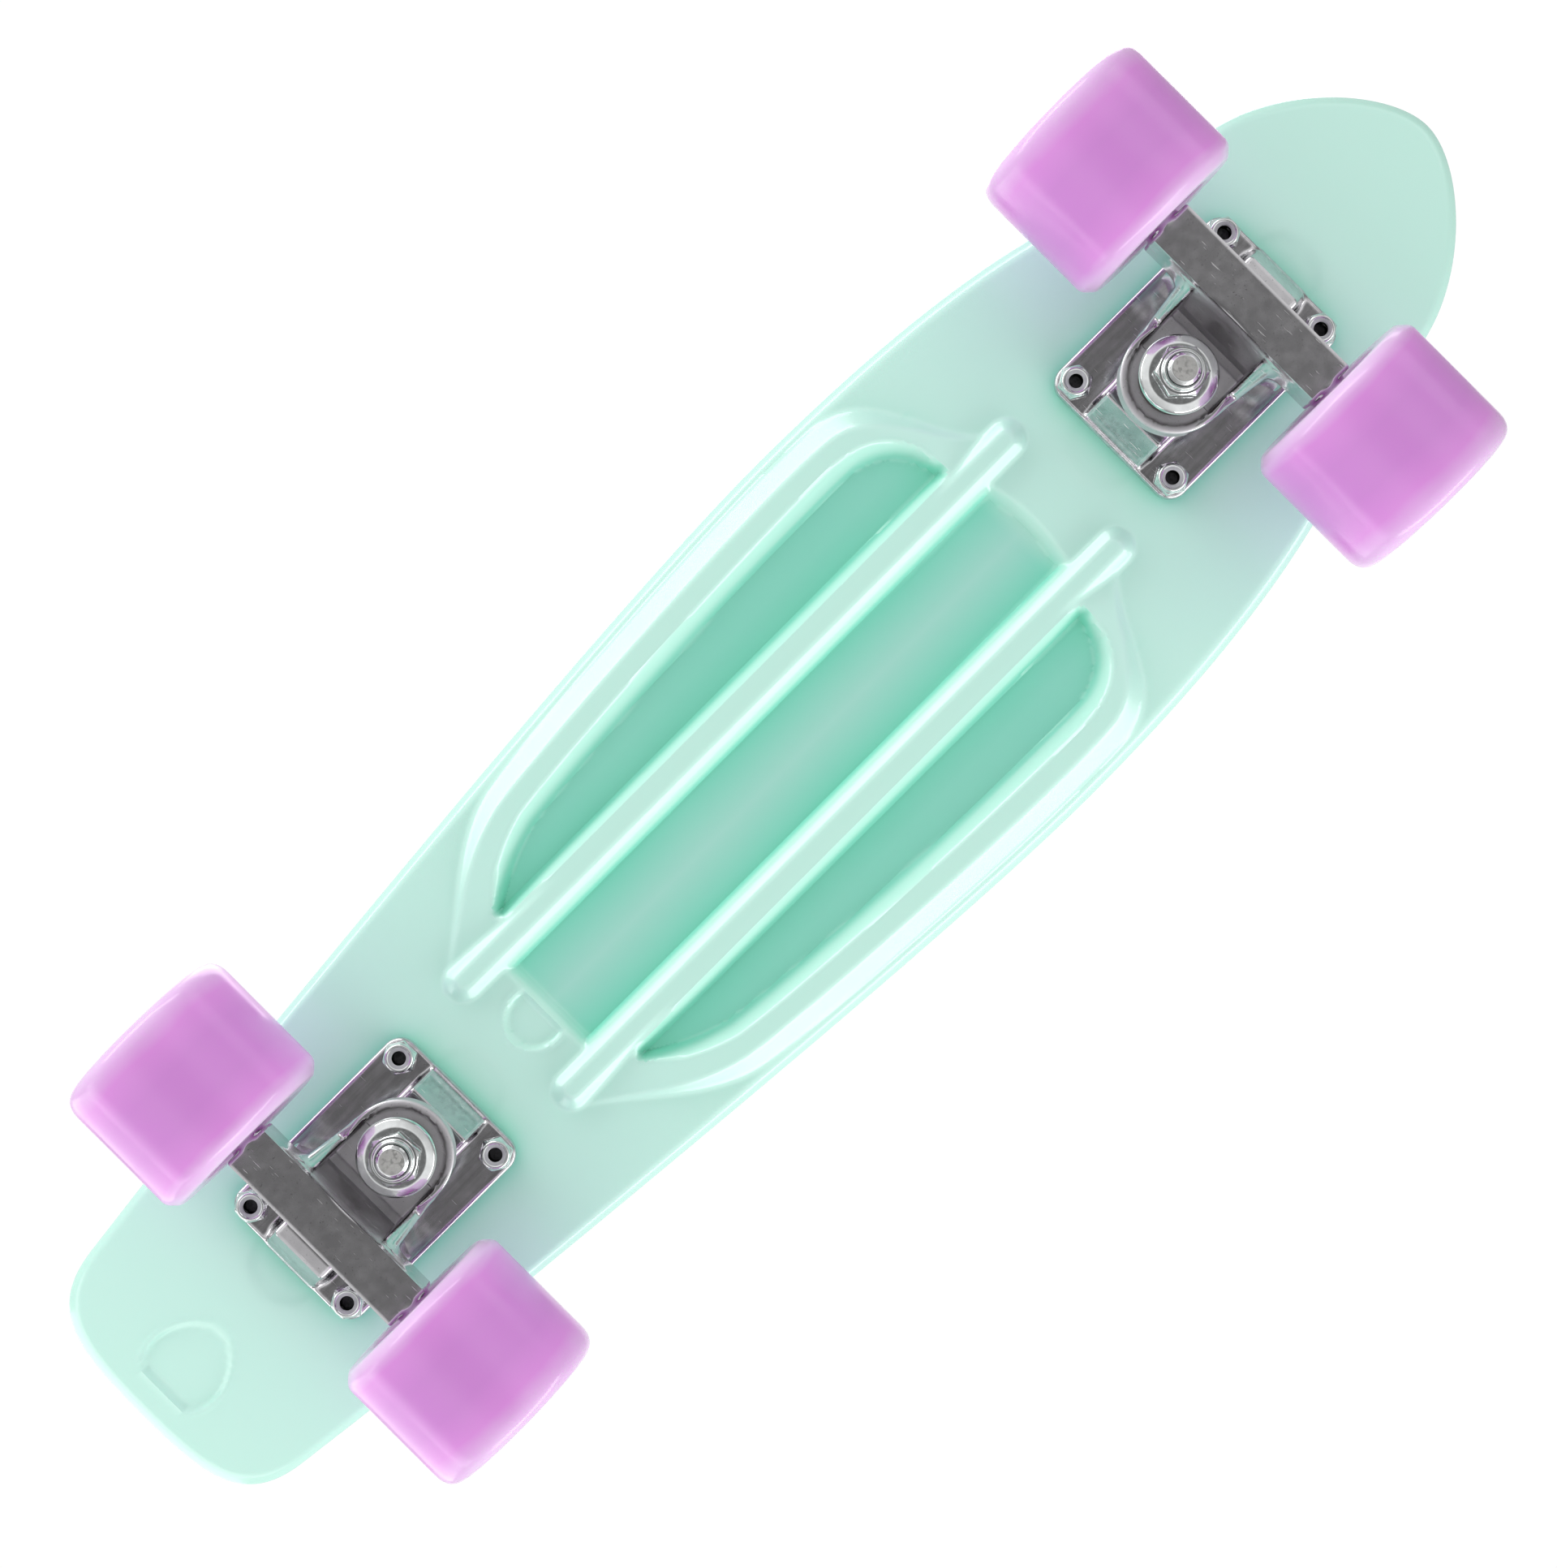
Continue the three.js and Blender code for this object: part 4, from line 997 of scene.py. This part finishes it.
def axle():
    """The rod in both wheels, with threaded ends, made about Z and laid along Y."""
    half = [(0, AXLE_HALF_LENGTH), (AXLE_RADIUS - 0.8, AXLE_HALF_LENGTH, 0.2)]
    half += thread(AXLE_RADIUS, AXLE_HALF_LENGTH - 0.7, 66)
    half += [(AXLE_RADIUS, 65.8)]
    profile = half + [(r, -h) for r, h, *_ in half[::-1]]
    points, faces, owners = turned(profile, 48)
    laid = np.column_stack([points[:, 1], points[:, 2], points[:, 0]])
    return laid + (AXLE_X, 0, AXLE_HEIGHT), faces, owners


def pivot_cup():
    """The cup that the hanger's ball turns in, laid on the steering axis."""
    rim, top, mouth = PIVOT_CUP_RADIUS, PIVOT_CUP_TOP, PIVOT_CUP_MOUTH
    inner = PIVOT_BALL + GAP
    profile = [(0, top), (rim, top, 0.5), (rim, mouth, 0.3), (inner, mouth, 0.3)]
    profile += [(inner * math.cos(a), inner * math.sin(a)) for a in np.linspace(0, math.pi / 2, 8)[:-1]]
    profile += [(0, inner)]
    points, faces, owners = turned(profile, 60)
    x = points[:, 0] * -STEER_Z + points[:, 2] * STEER_X
    z = points[:, 0] * STEER_X + points[:, 2] * STEER_Z
    return np.column_stack([x + PIVOT_X, points[:, 1], z + PIVOT_HEIGHT]), faces, owners


def spun(points, degrees):
    """Points turned about the Z axis."""
    cos, sin = math.cos(math.radians(degrees)), math.sin(math.radians(degrees))
    x, y, z = points.T
    return np.stack([x * cos - y * sin, x * sin + y * cos, z], 1)


def add_trucks():
    """Puts the pieces of a truck at both ends of the board."""
    at_kingpin = (KINGPIN_X, 0, 0)
    hanger = skin(hanger_field, (-33, -45, 19.5), (30.5, 45, 76), 0.6)
    baseplate = skin(baseplate_field, (-39, -28, 57), (39, 28, 79), 0.55)
    nut = lock_nut(KINGPIN_FLATS, KINGPIN_BORE, (35.4, 29.8, 27.4), 6)
    bolt_nut = lock_nut(9.5, BOLT_RADIUS + GAP, (PLATE_FACE - GAP, 68.2, 66.6), 4.4, tight=0.5)
    bolt = deck_bolt()
    washers = {"upper_washer": cup_washer(BOSS_FACE - GAP, -1), "lower_washer": cup_washer(35.7, 1)}
    # Each bushing's two ends, at its washer and at the hanger's ring, and their radii.
    bushings = {"upper_bushing": (65.7, RING_UP + GAP, 10, 9.6),
                "lower_bushing": (37.7, RING_DOWN - GAP, 9.6, 11)}
    nut_turns = {"front": 14.5, "rear": -4}  # degrees
    for end in ENDS:
        truck = f"{end}_truck"

        def add(node, made, body, slot, materials, at=(0, 0, 0), crease=32):
            points = placed(made[0] + np.array(at), end)
            which = made[2] if len(materials) > 1 else None
            name = f"{end}_{node}"
            faces = outward(points, made[1])
            return piece(name + "_fine", points, faces, body, [name], materials, which, crease)

        add("baseplate", baseplate, "board", "cast_aluminium", [CAST], crease=50)
        add("hanger", hanger, truck, "cast_aluminium", [CAST], crease=50)
        add("pivot_cup", pivot_cup(), "board", "pivot_cup_nylon", [CUP_NYLON])
        add("kingpin", kingpin(), "board", "zinc_steel", [ZINC, CUT_STEEL], at_kingpin)
        for node, made in washers.items():
            add(node, made, "board", "zinc_steel", [ZINC], at_kingpin)
        for node, sizes in bushings.items():
            soft = add(node, bushing(*sizes), None, "bushing_urethane", [BUSHING], at_kingpin)
            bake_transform(soft)
        turned_nut = (spun(nut[0], nut_turns[end]), *nut[1:])
        add("kingpin_nut", turned_nut, "board", "zinc_steel", [ZINC, NYLON], at_kingpin)
        add("axle", axle(), truck, "axle_steel", [AXLE_STEEL])
        for number, (x, y) in enumerate(BOLT_PLACES, 1):
            for node, made, second in (("deck_bolt", bolt, THREAD_SHADE), ("lock_nut", bolt_nut, NYLON)):
                add(f"{node}_{number}", made, "board", "zinc_steel", [ZINC, second], (x, y, 0))


def add_wheels():
    """Puts a wheel and what turns or sits with it on all four axle ends."""
    tyre = turned(WHEEL_PROFILE, 160, closed=True)
    races = [bearing(face) for face in BEARING_FACES]
    sleeve = axle_sleeve()
    nut = lock_nut(12.7, AXLE_RADIUS + GAP, (69.5, 74.1, 76.0), 5.6)
    for end in ENDS:
        for side in ("left", "right"):
            wheel = f"{end}_{side}_wheel"

            def add(node, made, body, slot, materials):
                points = about_axle(made, end, side)
                which = made[2] if len(materials) > 1 else None
                faces = outward(points, made[1])
                name = f"{end}_{side}_{node}"
                piece(name + "_fine", points, faces, body, [name], materials, which)

            add("wheel", tyre, wheel, "wheel_urethane", [URETHANE])
            for node, made in zip(("inner_bearing", "outer_bearing"), races):
                add(node, made, wheel, "bearing_steel", [RACE_STEEL, SHIELD])
            add("axle_sleeve", sleeve, f"{end}_truck", "axle_steel", [AXLE_STEEL])
            add("axle_nut", nut, f"{end}_truck", "zinc_steel", [ZINC, NYLON])


# ---- Camera, floor and light ---------------------------------------------------------------------


def add_camera():
    """Straight up at the board's underside, with the board's nose to the upper right of the frame."""
    data = bpy.data.cameras.new("camera")
    data.lens, data.sensor_width = 73.12, 36
    data.shift_x, data.shift_y = 0.0327, 0.0270
    data.clip_start = 0.01
    made = in_scene("camera", data)
    half = math.sqrt(0.5)
    turn = Matrix(((half, half, 0), (half, -half, 0), (0, 0, -1)))
    made.matrix_world = Matrix.Translation((-0.025, 0, -0.8965)) @ turn.to_4x4()
    bpy.context.scene.camera = made


def add_floor():
    """A pale floor that only shows from above, so that the board can be seen from below."""
    size = 4.0
    mesh = bpy.data.meshes.new("studio_floor")
    corners = [(-size, -size, 0), (size, -size, 0), (size, size, 0), (-size, size, 0)]
    mesh.from_pydata(corners, [], [(0, 1, 2, 3)])
    floor = in_scene("studio_floor", mesh)
    finish = Finish("studio_floor", 0.8)
    finish.colour(finish.colours(finish.noise(6), (0.3, (0.8, 0.8, 0.8)), (0.7, (0.84, 0.84, 0.84))))
    mix = finish.new("MixShader")
    output = finish.tree.nodes["Material Output"]
    sources = (finish.new("NewGeometry").outputs["Backfacing"], finish.shader.outputs[0],
               finish.new("BsdfTransparent").outputs[0])
    for source, target in zip(sources, mix.inputs):
        finish.link(source, target)
    finish.link(mix.outputs[0], output.inputs["Surface"])
    mesh.materials.append(finish.material)
    for ray in ("diffuse", "glossy", "transmission", "shadow"):
        setattr(floor, "visible_" + ray, False)
    return floor


def add_world():
    """Even studio light, with a darker patch straight below for the metal to reflect."""
    world = bpy.data.worlds.new("studio")
    bpy.context.scene.world = world
    world.use_nodes = True
    tree = world.node_tree
    place = tree.nodes.new("ShaderNodeTexCoord")
    split = tree.nodes.new("ShaderNodeSeparateXYZ")
    tree.links.new(place.outputs["Generated"], split.inputs[0])
    height = map_range(tree, split.outputs["Z"], -1, 1, 0, 1)
    stops = [(0.0, 0.165), (0.015, 0.2), (0.045, 0.64), (0.09, 0.99), (0.3, 0.97), (0.5, 0.68), (0.7, 0.6)]
    stops += [(0.93, 0.55), (0.955, 1.0), (1.0, 1.0)]
    greys = [(where, (grey, grey, grey)) for where, grey in stops]
    sideways = tree.nodes.new("ShaderNodeMath")
    sideways.operation = "ABSOLUTE"
    tree.links.new(split.outputs["X"], sideways.inputs[0])
    dimmer = map_range(tree, sideways.outputs[0], 0.45, 0.95, 1.02, 0.4)
    background = tree.nodes["Background"]
    tree.links.new(colour_ramp(tree, height.outputs["Result"], greys), background.inputs["Color"])
    tree.links.new(dimmer.outputs["Result"], background.inputs["Strength"])


def add_light(name, place, aim, size, power):
    """A soft box that the camera doesn't see, turned towards aim."""
    data = bpy.data.lights.new(name, "AREA")
    data.shape = "RECTANGLE"
    data.size, data.size_y = size
    data.energy = power
    made = in_scene(name, data)
    made.visible_camera = False
    direction = Vector(place) - Vector(aim)
    made.matrix_world = Matrix.Translation(place) @ direction.to_track_quat("Z", "Y").to_matrix().to_4x4()
    return made


def keep_off(light, unlit):
    """Stops a light from falling on one object, where it would show as a bright patch."""
    group = bpy.data.collections.new(light.name + "_keeps_off")
    group.objects.link(unlit)
    group.collection_objects[0].light_linking.link_state = "EXCLUDE"
    light.light_linking.receiver_collection = group


bpy.context.scene.view_settings.view_transform = "Standard"
add_camera()
add_world()
studio_floor = add_floor()
for side, name in ((1, "strip_left"), (-1, "strip_right")):
    add_light(name, (0, 0.8 * side, -0.115), (0, 0, 0.06), (1.3, 0.2), 3.4)
tail_box = add_light("soft_box_tail", (-1.9, 0, 0.8), (0, 0, 0.06), (1.6, 2.0), 17)
tail_strip = add_light("strip_tail", (-0.9, 0, -0.06), (0, 0, 0.06), (1.0, 0.2), 0.95)
for light in (tail_box, tail_strip):
    keep_off(light, studio_floor)
add_light("soft_box_nose", (1.2, -0.1, -0.2), (0, 0, 0.06), (0.6, 0.4), 0.5)
add_light("soft_box_high", (0.6, -0.8, 1.4), (0, 0, 0.05), (1.2, 1.2), 9)
add_deck()
add_waffle()
add_trucks()
add_wheels()
